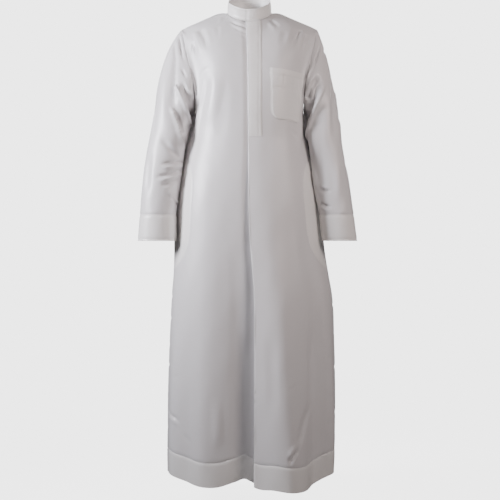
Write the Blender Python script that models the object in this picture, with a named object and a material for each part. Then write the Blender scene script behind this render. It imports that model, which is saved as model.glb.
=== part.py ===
"""A white, full-length thobe robe in its worn, hollow form, built as its sewn cloth pieces.

Metres, +Z up. The front faces -Y, so the wearer's left is +X. The origin lies at the middle of the neck,
level with the neck's sides, where the shoulders carry the robe.

The body is one smooth surface with two coordinates. The angle is measured round the body, from 0 at the
front's middle, 90 at the wearer's left side, to 180 at the back's middle. The level runs up the cloth,
from 0 at the hem and 1 at the chest line to 2 at the edge where the neck, shoulder seam and armhole are.
"""

import bpy
import numpy as np

# Cloth and seams
CLOTH = 0.0012
BAND_CLOTH = 0.0020
SEAM_GAP = 0.0003
LAYER_GAP = 0.0008

# Length of the robe, below the side of the neck, and the chest line
HEM_HEIGHT = -1.435
CHEST_HEIGHT = -0.420
HEM_DEPTH = 0.071
HEM_STEP = 0.0020

# Body outline: half the width, its shift to the wearer's left, and the reach to the front and back
SQUARENESS = 2.3
BODY = (
    ("height", "half_width", "shift", "front", "back"),
    (-1.435, 0.2585, 0.004, 0.190, 0.200),
    (-1.366, 0.2600, 0.005, 0.187, 0.198),
    (-1.210, 0.2610, 0.007, 0.180, 0.190),
    (-1.050, 0.2570, 0.008, 0.172, 0.182),
    (-0.866, 0.2480, 0.008, 0.163, 0.170),
    (-0.709, 0.2220, -0.002, 0.155, 0.158),
    (-0.570, 0.2080, -0.005, 0.148, 0.140),
    (-0.500, 0.1965, -0.005, 0.143, 0.130),
    (-0.420, 0.1815, -0.004, 0.138, 0.122),
)

# How much lower than the hem's height the cloth hangs
HEM_LINE = (
    ("angle", "drop"),
    (-180.0, 0.000),
    (-120.0, 0.004),
    (-90.0, -0.008),
    (-66.0, -0.019),
    (-48.0, -0.008),
    (-31.0, 0.006),
    (-20.0, 0.006),
    (-9.0, -0.007),
    (-2.0, -0.013),
    (1.4, 0.000),
    (12.0, 0.006),
    (22.0, 0.013),
    (45.0, 0.006),
    (58.0, -0.012),
    (90.0, -0.020),
    (130.0, 0.004),
    (180.0, 0.000),
)

# Neckline, an ellipse that rises from the front to the back
NECK_HALF_WIDTH = 0.0695
NECK_FRONT = 0.068
NECK_BACK = 0.055
NECK_RISE = 0.464
NECK_BOW = -1.826
SEAM_TURN = 72.0

# Where the columns of the body meet the corners of the top edge, in degrees from the middle
NECK_CORNER = 18.0
TIP_CORNER = 42.0

# Shoulder seam and armhole, for the wearer's left side
SHOULDER_TIP = (0.2120, -0.0040, -0.0530)
UNDERARM = (0.1690, 0.0000, -0.3180)
SHOULDER_SEAM = (
    ("x", "y", "z"),
    (0.0900, -0.0205, -0.0145),
    (0.1150, -0.0190, -0.0210),
    (0.1570, -0.0140, -0.0325),
    (0.1900, -0.0080, -0.0430),
)
ARMHOLE_FRONT = (
    ("off", "turn", "x", "y", "z"),
    (45.0, 18.0, 0.2100, -0.0185, -0.0620),
    (50.0, 40.0, 0.2005, -0.0380, -0.1050),
    (55.0, 66.0, 0.1870, -0.0580, -0.1580),
    (62.0, 103.0, 0.1720, -0.0760, -0.2230),
    (76.0, 145.0, 0.1665, -0.0520, -0.2870),
)
ARMHOLE_BACK = (
    ("off", "turn", "x", "y", "z"),
    (45.0, 18.0, 0.2115, 0.0140, -0.0590),
    (50.0, 40.0, 0.2060, 0.0390, -0.0980),
    (55.0, 66.0, 0.1970, 0.0620, -0.1540),
    (62.0, 103.0, 0.1840, 0.0760, -0.2230),
    (76.0, 145.0, 0.1710, 0.0500, -0.2870),
)

# The way the cloth runs as it reaches the top edge, by degrees from the middle
FRONT_RUN = (
    ("off", "x", "y", "z"),
    (0.0, 0.00, 0.62, 0.88),
    (6.0, 0.00, 0.65, 0.87),
    (12.0, 0.00, 0.80, 0.83),
    (18.0, 0.00, 1.00, 0.75),
    (30.0, 0.20, 1.05, 0.62),
    (42.0, 0.62, 0.95, 0.60),
    (46.5, 0.66, 0.72, 0.62),
    (52.0, 0.58, 0.40, 0.75),
    (62.0, 0.30, 0.10, 0.95),
    (76.0, 0.10, 0.00, 1.00),
    (90.0, 0.00, 0.00, 1.00),
)
BACK_RUN = (
    ("off", "x", "y", "z"),
    (0.0, 0.00, -0.62, 0.78),
    (4.5, 0.00, -0.66, 0.72),
    (9.0, 0.00, -0.80, 0.45),
    (12.0, -0.05, -0.90, 0.20),
    (15.0, -0.17, -1.00, -0.22),
    (18.0, -0.46, -1.10, -0.66),
    (24.0, -0.30, -1.12, -0.64),
    (30.0, -0.08, -1.10, -0.52),
    (42.0, 0.45, -0.90, 0.15),
    (52.0, 0.45, -0.40, 0.75),
    (62.0, 0.30, -0.10, 0.95),
    (76.0, 0.10, 0.00, 1.00),
    (90.0, 0.00, 0.00, 1.00),
)

# Centre pleat: its folded edge and the end of the cloth folded under it, as angles at each level
PLEAT = (
    ("level", "edge", "end"),
    (0.0, 1.4, 6.5),
    (1.0, 0.35, 13.0),
    (2.0, -1.9, 6.0),
)
PLEAT_RADIUS = 0.0015
PLEAT_TURN_STEPS = 4
PLEAT_UNDER_STEPS = 2

# The valley beside the pleat, on the wearer's right front
VALLEY_START = 1.10
VALLEY_HEM = 0.045
VALLEY_HALF_ANGLE = 36.0

# Largest folds: a ridge has a positive height and a valley a negative one. Each grows downwards from
# the level where it starts to the level where it is full, and turns from one angle to the other.
FOLDS = (
    ("start", "full", "angle_top", "angle_hem", "half_angle", "height"),
    (1.05, 0.00, 6.0, 22.0, 24.0, 0.036),
    (0.85, 0.35, 47.0, 46.0, 13.0, -0.012),
    (0.60, 0.00, 64.0, 66.0, 13.0, 0.012),
    (0.70, 0.05, -58.0, -60.0, 18.0, 0.012),
    (0.95, 0.05, 118.0, 122.0, 15.0, -0.022),
    (0.95, 0.00, 142.0, 146.0, 15.0, 0.020),
    (1.00, 0.05, 166.0, 169.0, 15.0, -0.020),
    (1.00, 0.00, 190.0, 193.0, 15.0, 0.018),
    (0.95, 0.05, 212.0, 216.0, 15.0, -0.022),
    (0.90, 0.00, 236.0, 240.0, 15.0, 0.018),
)

# Sleeves: where each section begins and ends across, its middle and its half depth
SLEEVE_LEFT = (
    ("height", "inner", "outer", "y", "half_depth"),
    (-0.712, 0.2225, 0.3315, -0.045, 0.047),
    (-0.630, 0.2150, 0.3210, -0.042, 0.048),
    (-0.545, 0.2075, 0.3105, -0.034, 0.051),
    (-0.460, 0.1960, 0.2975, -0.026, 0.057),
    (-0.380, 0.1780, 0.2850, -0.018, 0.064),
)
SLEEVE_RIGHT = (
    ("height", "inner", "outer", "y", "half_depth"),
    (-0.712, 0.2235, 0.3430, -0.045, 0.049),
    (-0.630, 0.2245, 0.3370, -0.042, 0.050),
    (-0.505, 0.2110, 0.3265, -0.032, 0.055),
    (-0.440, 0.2000, 0.3180, -0.024, 0.060),
    (-0.380, 0.1850, 0.3080, -0.018, 0.066),
)
SLEEVE_START = -0.380
CUFF_TOP = -0.632
CUFF_BOTTOM = -0.712

# The way the cloth of a sleeve leaves the armhole, by the turn round the arm from its outer side
SLEEVE_LEAVE = (
    ("turn", "left_out", "right_out", "ahead", "up"),
    (0.0, 0.34, 0.68, 0.00, -0.85),
    (45.0, 0.45, 0.65, 0.20, -0.80),
    (90.0, 0.60, 0.65, 0.35, -0.75),
    (135.0, 0.60, 0.60, 0.25, -0.80),
    (180.0, 0.75, 0.75, 0.00, -0.66),
)

# Large folds of the sleeves, by the share of the way down: below 1 they lie above the armpit's level
SLEEVE_FOLDS = (
    ("side", "from_share", "to_share", "from_turn", "to_turn", "half_turn", "height"),
    ("left", 0.25, 1.15, 70.0, 130.0, 45.0, -0.009),
    ("left", 0.60, 1.50, 90.0, 140.0, 45.0, 0.006),
    ("left", 0.10, 1.00, 285.0, 250.0, 45.0, -0.008),
    ("right", 0.20, 1.10, 60.0, 125.0, 45.0, -0.009),
    ("right", 0.55, 1.45, 90.0, 140.0, 45.0, 0.006),
    ("right", 0.10, 1.00, 285.0, 250.0, 45.0, -0.008),
)

# Collar band
COLLAR_HEIGHT = 0.0370
COLLAR_LEAN = 0.0030
COLLAR_INSET = 0.0028
COLLAR_BLEND_TURN = 35.0
COLLAR_CORNER = 0.011

# Placket, as angles at each level
PLACKET = (
    ("level", "inner", "outer"),
    (1.0, 0.6, 11.5),
    (1.5, -0.1, 10.3),
    (2.0, -1.7, 7.6),
)
PLACKET_END = 1.05

# Chest pocket: its outline as seen from the front
POCKET_TOP = ((0.0605, -0.1930), (0.1660, -0.2030))
POCKET_LOW = ((0.0640, -0.3450), (0.1500, -0.3540))
POCKET_RADIUS = (0.026, 0.008)
POCKET_STEPS = 7

# Pocket bags behind the side seams
BAG_TOP = 0.955
BAG_LOW = 0.630
BAG_ANGLE = 52.0
BAG_END = 0.97
BAG_CLOTH = 0.0010

# How finely each piece is cut
SKIRT_LEVELS = 13
UPPER_LEVELS = 12
NECK_STEPS = 6
SHOULDER_STEPS = 5
ARMHOLE_STEPS = 10
CAP_STEPS = 8
SLEEVE_STEPS = 7
CUFF_STEPS = 2


def column(table, name):
    """One named column of a table, without its heading row."""
    place = table[0].index(name)
    return np.array([row[place] for row in table[1:]])


def smooth_line(places, values, at):
    """The value at a place on a smooth curve through the given ones."""
    places, values = np.asarray(places, float), np.asarray(values, float)
    slopes = np.gradient(values, places)
    at = np.clip(at, places[0], places[-1])
    low = np.clip(np.searchsorted(places, at, side="right") - 1, 0, len(places) - 2)
    step = places[low + 1] - places[low]
    return hermite(
        values[low], slopes[low] * step, values[low + 1], slopes[low + 1] * step, (at - places[low]) / step
    )


def read_off(table, key, name, at):
    """A table's value at a place between its rows."""
    places, values = column(table, key), column(table, name)
    order = np.argsort(places)
    return smooth_line(places[order], values[order], at)


def hermite(start, leave, end, arrive, share):
    """A cubic curve from start to end with the given velocities at its ends."""
    square = share * share
    cube = square * share
    return (
        (2 * cube - 3 * square + 1) * start
        + (cube - 2 * square + share) * leave
        + (3 * square - 2 * cube) * end
        + (cube - square) * arrive
    )


def ease(share):
    """0 to 1, slow at both ends."""
    share = np.clip(share, 0.0, 1.0)
    return share * share * (3 - 2 * share)


def hump(distance):
    """1 at no distance, falling smoothly to 0 at a distance of 1."""
    return ease(1.0 - np.abs(distance))


def unit(vectors):
    return vectors / np.maximum(np.linalg.norm(vectors, axis=-1, keepdims=True), 1e-12)


def spread(*values):
    return np.broadcast_arrays(*[np.asarray(value, float) for value in values])


def neckline(turn):
    """The seam of the collar, by the turn in degrees from the front's middle."""
    turn = np.radians(turn)
    x = NECK_HALF_WIDTH * np.sin(turn)
    reach = np.where(np.cos(turn) > 0, NECK_FRONT, NECK_BACK)
    y = -reach * np.cos(turn)
    return np.stack([x, y, NECK_RISE * y + NECK_BOW * y * y], axis=-1)


def shoulder_seam(share):
    """The shoulder seam from the neckline to the tip of the shoulder."""
    points = np.array([neckline(SEAM_TURN), *SHOULDER_SEAM[1:], SHOULDER_TIP])
    gone = np.r_[0.0, np.cumsum(np.linalg.norm(np.diff(points, axis=0), axis=1))]
    at = np.clip(share, 0.0, 1.0) * gone[-1]
    return np.stack([smooth_line(gone, points[:, axis], at) for axis in range(3)], axis=-1)


def armhole(table, key, at):
    """A point of the armhole, by the body's angle off the middle or by the sleeve's turn."""
    ends = {"off": (TIP_CORNER, 90.0), "turn": (0.0, 180.0)}[key]
    places = np.r_[ends[0], column(table, key), ends[1]]
    values = [np.r_[SHOULDER_TIP[axis], column(table, name), UNDERARM[axis]] for axis, name in enumerate("xyz")]
    return np.stack([smooth_line(places, value, at) for value in values], axis=-1)


def body_ring(angle, height):
    """A point on the body's outline at a height."""
    turn = np.radians(angle)
    power = 2.0 / SQUARENESS
    across, ahead = np.sin(turn), np.cos(turn)
    half = read_off(BODY, "height", "half_width", height)
    shift = read_off(BODY, "height", "shift", height)
    reach = np.where(
        ahead > 0, read_off(BODY, "height", "front", height), read_off(BODY, "height", "back", height)
    )
    x = shift + half * np.sign(across) * np.abs(across) ** power
    y = -reach * np.sign(ahead) * np.abs(ahead) ** power
    return np.stack([x, y, height + 0.0 * x], axis=-1)


def top_edge(angle):
    """Where a column of the body ends, and the way that the cloth runs there."""
    wrapped = (angle + 180.0) % 360.0 - 180.0
    side = np.where(wrapped < 0, -1.0, 1.0)
    is_front = np.abs(wrapped) <= 90.0
    off = np.where(is_front, np.abs(wrapped), 180.0 - np.abs(wrapped))
    share = off / NECK_CORNER
    turn = np.where(is_front, SEAM_TURN * share, 180.0 - (180.0 - SEAM_TURN) * share)
    on_arm = np.where(
        is_front[..., None], armhole(ARMHOLE_FRONT, "off", off), armhole(ARMHOLE_BACK, "off", off)
    )
    on_shoulder = shoulder_seam((off - NECK_CORNER) / (TIP_CORNER - NECK_CORNER))
    point = np.where((off <= NECK_CORNER)[..., None], neckline(turn), on_shoulder)
    point = np.where((off > TIP_CORNER)[..., None], on_arm, point)
    run = np.stack(
        [
            np.where(is_front, read_off(FRONT_RUN, "off", name, off), read_off(BACK_RUN, "off", name, off))
            for name in "xyz"
        ],
        axis=-1,
    )
    mirror = np.stack([side, np.ones_like(side), np.ones_like(side)], axis=-1)
    return point * mirror, run * mirror


def smooth_body(angle, level):
    """A point on the body before its folds."""
    angle, level = spread(angle, level)
    low = np.clip(level, 0.0, 1.0)
    high = np.clip(level - 1.0, 0.0, 1.0)[..., None]
    wrapped = (angle + 180.0) % 360.0 - 180.0
    lower = body_ring(angle, HEM_HEIGHT + low * (CHEST_HEIGHT - HEM_HEIGHT))
    lower[..., 2] -= read_off(HEM_LINE, "angle", "drop", wrapped) * ease(1.0 - 1.5 * low)
    chest = body_ring(angle, CHEST_HEIGHT + 0.0 * angle)
    below = body_ring(angle, CHEST_HEIGHT - 0.001 + 0.0 * angle)
    end, run = top_edge(angle)
    reach = np.linalg.norm(end - chest, axis=-1, keepdims=True)
    upper = hermite(chest, (chest - below) / 0.001 * reach, end, run * reach, high)
    return np.where((level <= 1.0)[..., None], lower, upper)


def body_normal(angle, level):
    """The way out of the smooth body."""
    angle, level = spread(angle, level)
    top = np.minimum(level + 0.002, 2.0)
    low = np.maximum(level - 0.002, 0.0)
    across = smooth_body(angle + 0.3, level) - smooth_body(angle - 0.3, level)
    return unit(np.cross(across, smooth_body(angle, top) - smooth_body(angle, low)))


def fold_height(angle, level):
    """How far the largest folds stand out of the smooth body."""
    total = 0.0
    for row in FOLDS[1:]:
        fold = dict(zip(FOLDS[0], row))
        grown = ease((fold["start"] - level) / (fold["start"] - fold["full"]))
        middle = fold["angle_hem"] + (fold["angle_top"] - fold["angle_hem"]) * np.clip(level, 0.0, 1.0)
        away = (angle - middle + 180.0) % 360.0 - 180.0
        total = total + fold["height"] * grown * hump(away / fold["half_angle"])
    return total


def pleat_angle(name, level):
    return read_off(PLEAT, "level", name, level)


def under_depth(level):
    """How far the cloth under the pleat lies behind the cloth on top."""
    return 2 * PLEAT_RADIUS + LAYER_GAP + VALLEY_HEM * ease((VALLEY_START - level) / VALLEY_START)


def under_body(angle, level):
    """A point on the wearer's right front, which falls back beside the pleat and runs under it."""
    angle, level = spread(angle, level)
    away = np.minimum(angle - pleat_angle("edge", level), 0.0) / VALLEY_HALF_ANGLE
    rise = fold_height(angle, level) - under_depth(level) * hump(away)
    return smooth_body(angle, level) + body_normal(angle, level) * rise[..., None]


def over_body(angle, level):
    """A point on the rest of the body."""
    angle, level = spread(angle, level)
    return smooth_body(angle, level) + body_normal(angle, level) * fold_height(angle, level)[..., None]


def body_levels():
    """The levels of the rows, with two rows close together where the turned-up hem ends."""
    rise = CHEST_HEIGHT - HEM_HEIGHT
    skirt = np.linspace((HEM_DEPTH + HEM_STEP) / rise, 1.0, SKIRT_LEVELS)
    upper = 2.0 - np.linspace(1.0, 0.0, UPPER_LEVELS + 1)[1:] ** 1.35
    return np.r_[0.0, 0.5 * HEM_DEPTH / rise, HEM_DEPTH / rise, skirt, upper]


def side_angles():
    """The columns of half a panel, from the corner at the neck to the side seam."""
    return np.r_[
        np.linspace(NECK_CORNER, TIP_CORNER, SHOULDER_STEPS + 1)[:-1],
        np.linspace(TIP_CORNER, 90.0, ARMHOLE_STEPS + 1),
    ]


def grid_normals(points, closed=False):
    """The way out at each point of a grid: first axis to the wearer's left, second axis up."""

    def both_ways(axis, wraps):
        ahead = unit(np.roll(points, -1, axis) - points)
        behind = np.roll(ahead, 1, axis)
        if not wraps:
            ahead, behind = np.moveaxis(ahead, axis, 0), np.moveaxis(behind, axis, 0)
            ahead[-1], behind[0] = behind[-1], ahead[0]
            ahead, behind = np.moveaxis(ahead, 0, axis), np.moveaxis(behind, 0, axis)
        return ahead + behind

    return unit(np.cross(both_ways(0, closed), both_ways(1, False)))


def across_way(points, closed=False):
    ahead = np.roll(points, -1, 0) - points
    behind = np.roll(ahead, 1, 0)
    if not closed:
        ahead[-1], behind[0] = behind[-1], ahead[0]
    return unit(ahead) + unit(behind)


def pull_in(points, normals, edges, closed=False):
    """Moves whole edges of a grid in along the cloth, by half a seam's gap."""
    moved = points.copy()
    half = 0.5 * SEAM_GAP
    across = across_way(points, closed)
    if "top" in edges:
        moved[:, -1] -= half * unit(np.cross(normals[:, -1], across[:, -1]))
    if "low" in edges:
        moved[:, 0] += half * unit(np.cross(normals[:, 0], across[:, 0]))
    if "first" in edges:
        moved[0] += half * unit(points[1] - points[0])
    if "last" in edges:
        moved[-1] += half * unit(points[-2] - points[-1])
    return moved


def mitred(own, other):
    """The way through a wall's edge, so that it meets the other wall's edge at an angle."""
    middle = unit(own + other)
    return middle / np.maximum(np.sum(middle * own, axis=-1, keepdims=True), 0.5)


def sheet_solid(name, outer, inner, colour, closed=False):
    """A closed wall between two grids of points, with a rim round its edges."""
    columns, rows = outer.shape[:2]
    points = np.concatenate([outer.reshape(-1, 3), inner.reshape(-1, 3)])
    behind = columns * rows
    faces = []
    for i in range(columns if closed else columns - 1):
        here, after = i * rows, (i + 1) % columns * rows
        for j in range(rows - 1):
            a, b = here + j, after + j
            faces.append((a, b, b + 1, a + 1))
            faces.append((a + behind, a + 1 + behind, b + 1 + behind, b + behind))
        faces.append((here, here + behind, after + behind, after))
        here, after = here + rows - 1, after + rows - 1
        faces.append((here, after, after + behind, here + behind))
    if not closed:
        last = (columns - 1) * rows
        for j in range(rows - 1):
            faces.append((j, j + 1, j + 1 + behind, j + behind))
            faces.append((last + j, last + j + behind, last + j + 1 + behind, last + j + 1))
    mesh = bpy.data.meshes.new(name)
    mesh.from_pydata([tuple(p) for p in points.tolist()], [], faces)
    mesh.update()
    mesh.shade_smooth()
    mesh.set_sharp_from_angle(angle=np.radians(40.0))
    piece = bpy.data.objects.new(name, mesh)
    bpy.context.scene.collection.objects.link(piece)
    piece.data.materials.append(colour)
    return piece


def cloth_colour(name):
    colour = bpy.data.materials.new(name)
    colour.use_nodes = True
    surface = colour.node_tree.nodes["Principled BSDF"]
    surface.inputs["Base Color"].default_value = (0.80, 0.80, 0.80, 1.0)
    surface.inputs["Roughness"].default_value = 0.75
    return colour


def arm_offs():
    return np.linspace(TIP_CORNER, 90.0, ARMHOLE_STEPS + 1)


def arm_turns():
    """The columns of a sleeve: they start from the armhole where the columns of the body end."""
    offs = np.r_[TIP_CORNER, column(ARMHOLE_FRONT, "off"), 90.0]
    turns = np.r_[0.0, column(ARMHOLE_FRONT, "turn"), 180.0]
    front = smooth_line(offs, turns, arm_offs())
    return np.r_[front, 360.0 - front[-2:0:-1]]


def sleeve_ring(table, turn, height):
    """A point of a sleeve's section at a height."""
    inner = read_off(table, "height", "inner", height)
    outer = read_off(table, "height", "outer", height)
    middle_y = read_off(table, "height", "y", height)
    depth = read_off(table, "height", "half_depth", height)
    angle = np.radians(turn)
    x = 0.5 * (inner + outer) + 0.5 * (outer - inner) * np.cos(angle)
    return np.stack([x, middle_y - depth * np.sin(angle), height + 0.0 * x], axis=-1)


def smooth_sleeve(side, turn, share):
    """A point on a sleeve, at x > 0: share 0 is the armhole, 1 the armpit's level and 2 the cuff's seam."""
    turn, share = spread(turn, share)
    table = SLEEVE_LEFT if side == "left" else SLEEVE_RIGHT
    is_front = turn <= 180.0
    near = np.where(is_front, turn, 360.0 - turn)
    start = np.where(
        is_front[..., None], armhole(ARMHOLE_FRONT, "turn", near), armhole(ARMHOLE_BACK, "turn", near)
    )
    end = sleeve_ring(table, turn, SLEEVE_START + 0.0 * turn)
    below = sleeve_ring(table, turn, SLEEVE_START - 0.001 + 0.0 * turn)
    reach = np.linalg.norm(end - start, axis=-1, keepdims=True)
    leave = np.stack(
        [
            read_off(SLEEVE_LEAVE, "turn", side + "_out", near),
            np.where(is_front, -1.0, 1.0) * read_off(SLEEVE_LEAVE, "turn", "ahead", near),
            read_off(SLEEVE_LEAVE, "turn", "up", near),
        ],
        axis=-1,
    )
    cap = hermite(start, leave * reach, end, (below - end) / 0.001 * reach, np.clip(share, 0, 1)[..., None])
    height = SLEEVE_START + np.clip(share - 1.0, 0.0, 1.0) * (CUFF_TOP - SLEEVE_START)
    return np.where((share <= 1.0)[..., None], cap, sleeve_ring(table, turn, height))


def sleeve_folds(side, turn, share):
    total = 0.0 * share
    for row in SLEEVE_FOLDS[1:]:
        fold = dict(zip(SLEEVE_FOLDS[0], row))
        if fold["side"] != side:
            continue
        gone = np.clip((share - fold["from_share"]) / (fold["to_share"] - fold["from_share"]), 0.0, 1.0)
        middle = fold["from_turn"] + (fold["to_turn"] - fold["from_turn"]) * gone
        total = total + fold["height"] * hump(2 * gone - 1) * hump((turn - middle) / fold["half_turn"])
    return total


def sleeve_points(side):
    """A sleeve's grid, at x > 0, with its rows from the armhole down."""
    turns = arm_turns()[:, None]
    shares = np.r_[np.linspace(0.0, 1.0, CAP_STEPS + 1), np.linspace(1.0, 2.0, SLEEVE_STEPS + 1)[1:]][None]
    points = smooth_sleeve(side, turns, shares)
    return points + grid_normals(points, closed=True) * sleeve_folds(side, turns, shares)[..., None]


def front_left_points():
    """The wearer's left front: the end of the fold under the pleat first, and the side seam last."""
    levels = body_levels()
    edge, end = pleat_angle("edge", levels), pleat_angle("end", levels)
    depth = under_depth(levels) - LAYER_GAP
    columns = []
    for share in np.linspace(1.0, 0.0, PLEAT_UNDER_STEPS + 1)[:-1]:
        angle = edge + share * (end - edge)
        sunk = 2 * PLEAT_RADIUS + share * (depth - 2 * PLEAT_RADIUS)
        columns.append(over_body(angle, levels) - body_normal(angle, levels) * sunk[:, None])
    out = body_normal(edge, levels)
    across = unit(over_body(edge + 0.5, levels) - over_body(edge, levels))
    for turn in np.linspace(np.pi, 0.0, PLEAT_TURN_STEPS + 1)[:-1]:
        back = PLEAT_RADIUS * (1.0 - np.cos(turn))
        columns.append(over_body(edge, levels) - across * PLEAT_RADIUS * np.sin(turn) - out * back)
    for share in np.linspace(0.0, 1.0, NECK_STEPS + 1)[:-1]:
        columns.append(over_body(edge + share * (NECK_CORNER - edge), levels))
    for angle in side_angles():
        columns.append(over_body(angle, levels))
    return np.stack(columns)


def front_right_points():
    """The wearer's right front: the side seam first, and the end under the pleat last."""
    levels = body_levels()
    columns = [under_body(angle, levels) for angle in -side_angles()[:0:-1]]
    for share in np.linspace(0.0, 1.0, NECK_STEPS + 3):
        columns.append(under_body(-NECK_CORNER + share * (pleat_angle("end", levels) + NECK_CORNER), levels))
    return np.stack(columns)


def back_points():
    half = np.r_[np.linspace(0.0, NECK_CORNER, NECK_STEPS + 1)[:-1], side_angles()]
    angles = np.r_[180.0 - half[:0:-1], 180.0 + half]
    return over_body(angles[:, None], body_levels()[None])


def panel(name, points, edges, joins, first_hem_column=0):
    """A body panel. Each join pairs some of its top edge's points with the way out of the pieces beside."""
    normals = grid_normals(points)
    points = pull_in(points, normals, edges + ["top"])
    thickness = np.full(points.shape[:2], CLOTH)
    thickness[first_hem_column:, :3] = 2 * CLOTH
    through = normals.copy()
    for own, others in joins:
        through[own, -1] = mitred(normals[own, -1], others)
    sheet_solid(name, points, points - through * thickness[..., None], cloth_colour(name + "_cloth"))


def find_on_body(x, z):
    """The angle and level of the points of the body that lie at x and z, as seen from the front."""
    x, z = spread(x, z)
    half = read_off(BODY, "height", "half_width", CHEST_HEIGHT)
    angle = np.degrees(np.arcsin(np.clip(x / half, -0.97, 0.97)))
    below = (z - HEM_HEIGHT) / (CHEST_HEIGHT - HEM_HEIGHT)
    level = np.where(z > CHEST_HEIGHT, 1.0 + (z - CHEST_HEIGHT) / abs(CHEST_HEIGHT), below)
    step = 1e-3
    for _ in range(30):
        here = over_body(angle, level)
        by_angle = (over_body(angle + step, level) - here) / step
        by_level = (over_body(angle, level + step) - here) / step
        off_x, off_z = x - here[..., 0], z - here[..., 2]
        scale = by_angle[..., 0] * by_level[..., 2] - by_angle[..., 2] * by_level[..., 0]
        angle = angle + 0.7 * (off_x * by_level[..., 2] - off_z * by_level[..., 0]) / scale
        level = np.clip(level + 0.7 * (off_z * by_angle[..., 0] - off_x * by_angle[..., 2]) / scale, 0.0, 1.995)
    return angle, level


def laid_on(name, angles, levels, gap, thickness):
    """A piece that lies on the panel below it: the panel's points moved out."""
    points, normals = over_body(angles, levels), body_normal(angles, levels)
    outer = points + normals * (gap + thickness)
    return sheet_solid(name, outer, points + normals * gap, cloth_colour(name + "_cloth"))


def build_placket():
    rows = body_levels()
    levels = np.r_[PLACKET_END, rows[(rows > PLACKET_END + 0.02) & (rows < 1.99)], 1.996][None]
    inner, outer = (read_off(PLACKET, "level", name, levels) for name in ("inner", "outer"))
    share = np.linspace(0.0, 1.0, 5)[:, None]
    return laid_on("placket", inner + share * (outer - inner), levels + 0.0 * share, LAYER_GAP, CLOTH)


def build_chest_pocket():
    low, top = np.array(POCKET_LOW), np.array(POCKET_TOP)
    height = np.mean(np.linalg.norm(top - low, axis=1))
    width = 0.5 * (np.linalg.norm(top[1] - top[0]) + np.linalg.norm(low[1] - low[0]))
    arc = POCKET_RADIUS[0] * (1.0 - np.cos(np.radians([0.0, 25.0, 50.0, 72.0, 90.0])))
    up = np.r_[arc, np.linspace(arc[-1], height, POCKET_STEPS)[1:]]
    cut = [radius - np.sqrt(radius**2 - np.clip(radius - up, 0.0, radius) ** 2) for radius in POCKET_RADIUS]
    share = np.linspace(0.0, 1.0, POCKET_STEPS + 1)[:, None]
    first, last = cut[0] / width, 1.0 - cut[1] / width
    place = (first + share * (last - first))[..., None]
    rise = (up / height)[None, :, None]
    low_line, top_line = low[0] + place * (low[1] - low[0]), top[0] + place * (top[1] - top[0])
    outline = low_line + rise * (top_line - low_line)
    angles, levels = find_on_body(outline[..., 0], outline[..., 1])
    return laid_on("chest_pocket", angles, levels, 2 * LAYER_GAP, CLOTH)


def build_side_pocket(side):
    """A flat bag of two layers behind a front, from the side seam forwards."""
    sign = 1.0 if side == "left" else -1.0
    levels = np.linspace(BAG_LOW, BAG_TOP, 11)
    off_middle = BAG_END * (2 * levels - BAG_LOW - BAG_TOP) / (BAG_TOP - BAG_LOW)
    start = 90.0 - (90.0 - BAG_ANGLE) * np.sqrt(1.0 - off_middle**4)
    share = np.linspace(0.0, 1.0, 6)[:, None]
    angles = start + share * (89.6 - start)
    if side == "right":
        angles = -angles[::-1]
    place = over_body if side == "left" else under_body
    levels = levels[None] + 0.0 * share
    points, normals = place(angles, levels), body_normal(angles, levels)
    outer = points - normals * (CLOTH + LAYER_GAP)
    inner = outer - normals * 2 * BAG_CLOTH
    return sheet_solid("side_pocket_" + side, outer, inner, cloth_colour("side_pocket_" + side + "_cloth"))


def build_collar():
    """The band round the neck: its over end first, and its under end, which lies inside, last."""
    edge = pleat_angle("edge", 2.0)
    per_angle = SEAM_TURN / NECK_CORNER
    front = per_angle * np.linspace(edge, NECK_CORNER, NECK_STEPS + 1)
    back = np.linspace(SEAM_TURN, 360.0 - SEAM_TURN, 2 * NECK_STEPS + 1)
    under_start = 360.0 - SEAM_TURN
    under_end = 360.0 + per_angle * pleat_angle("end", 2.0)
    turns = np.r_[front[:-1], back[:-1], np.linspace(under_start, under_end, NECK_STEPS + 3)]
    corner = COLLAR_HEIGHT - COLLAR_CORNER
    rows = np.r_[0.0, 0.5 * corner, corner + COLLAR_CORNER * np.sin(np.radians([0.0, 30.0, 60.0, 90.0]))]
    turn = np.repeat(turns[:, None], len(rows), axis=1)
    high = np.clip((rows - corner) / COLLAR_CORNER, 0.0, 1.0)
    per_metre = 1.0 / (NECK_HALF_WIDTH * np.pi / 180.0)
    turn[0] += COLLAR_CORNER * per_metre * (1.0 - np.sqrt(1.0 - high**2))
    inset = COLLAR_INSET * ease(1.0 - (360.0 + front[0] - turn) / COLLAR_BLEND_TURN)
    angle = np.radians(turn)
    reach = np.where(np.cos(angle) > 0, NECK_FRONT, NECK_BACK)
    out = unit(np.stack([np.sin(angle) / NECK_HALF_WIDTH, -np.cos(angle) / reach, 0.0 * angle], axis=-1))
    lean = COLLAR_LEAN * rows / COLLAR_HEIGHT
    outer = neckline(turn) - out * (inset + lean)[..., None]
    outer[..., 2] += SEAM_GAP + rows
    return sheet_solid("collar", outer, outer - out * BAND_CLOTH, cloth_colour("collar_cloth"))


def build_sleeve(side, points, body_normals):
    """A sleeve, whose rows run down, so its first row is the armhole."""
    normals = grid_normals(points, closed=True)
    points = pull_in(points, normals, ["low", "top"], closed=True)
    through = normals.copy()
    through[:, 0] = mitred(normals[:, 0], body_normals)
    inner = points - through * CLOTH
    return tube_solid("sleeve_" + side, side, points, inner)


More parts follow.
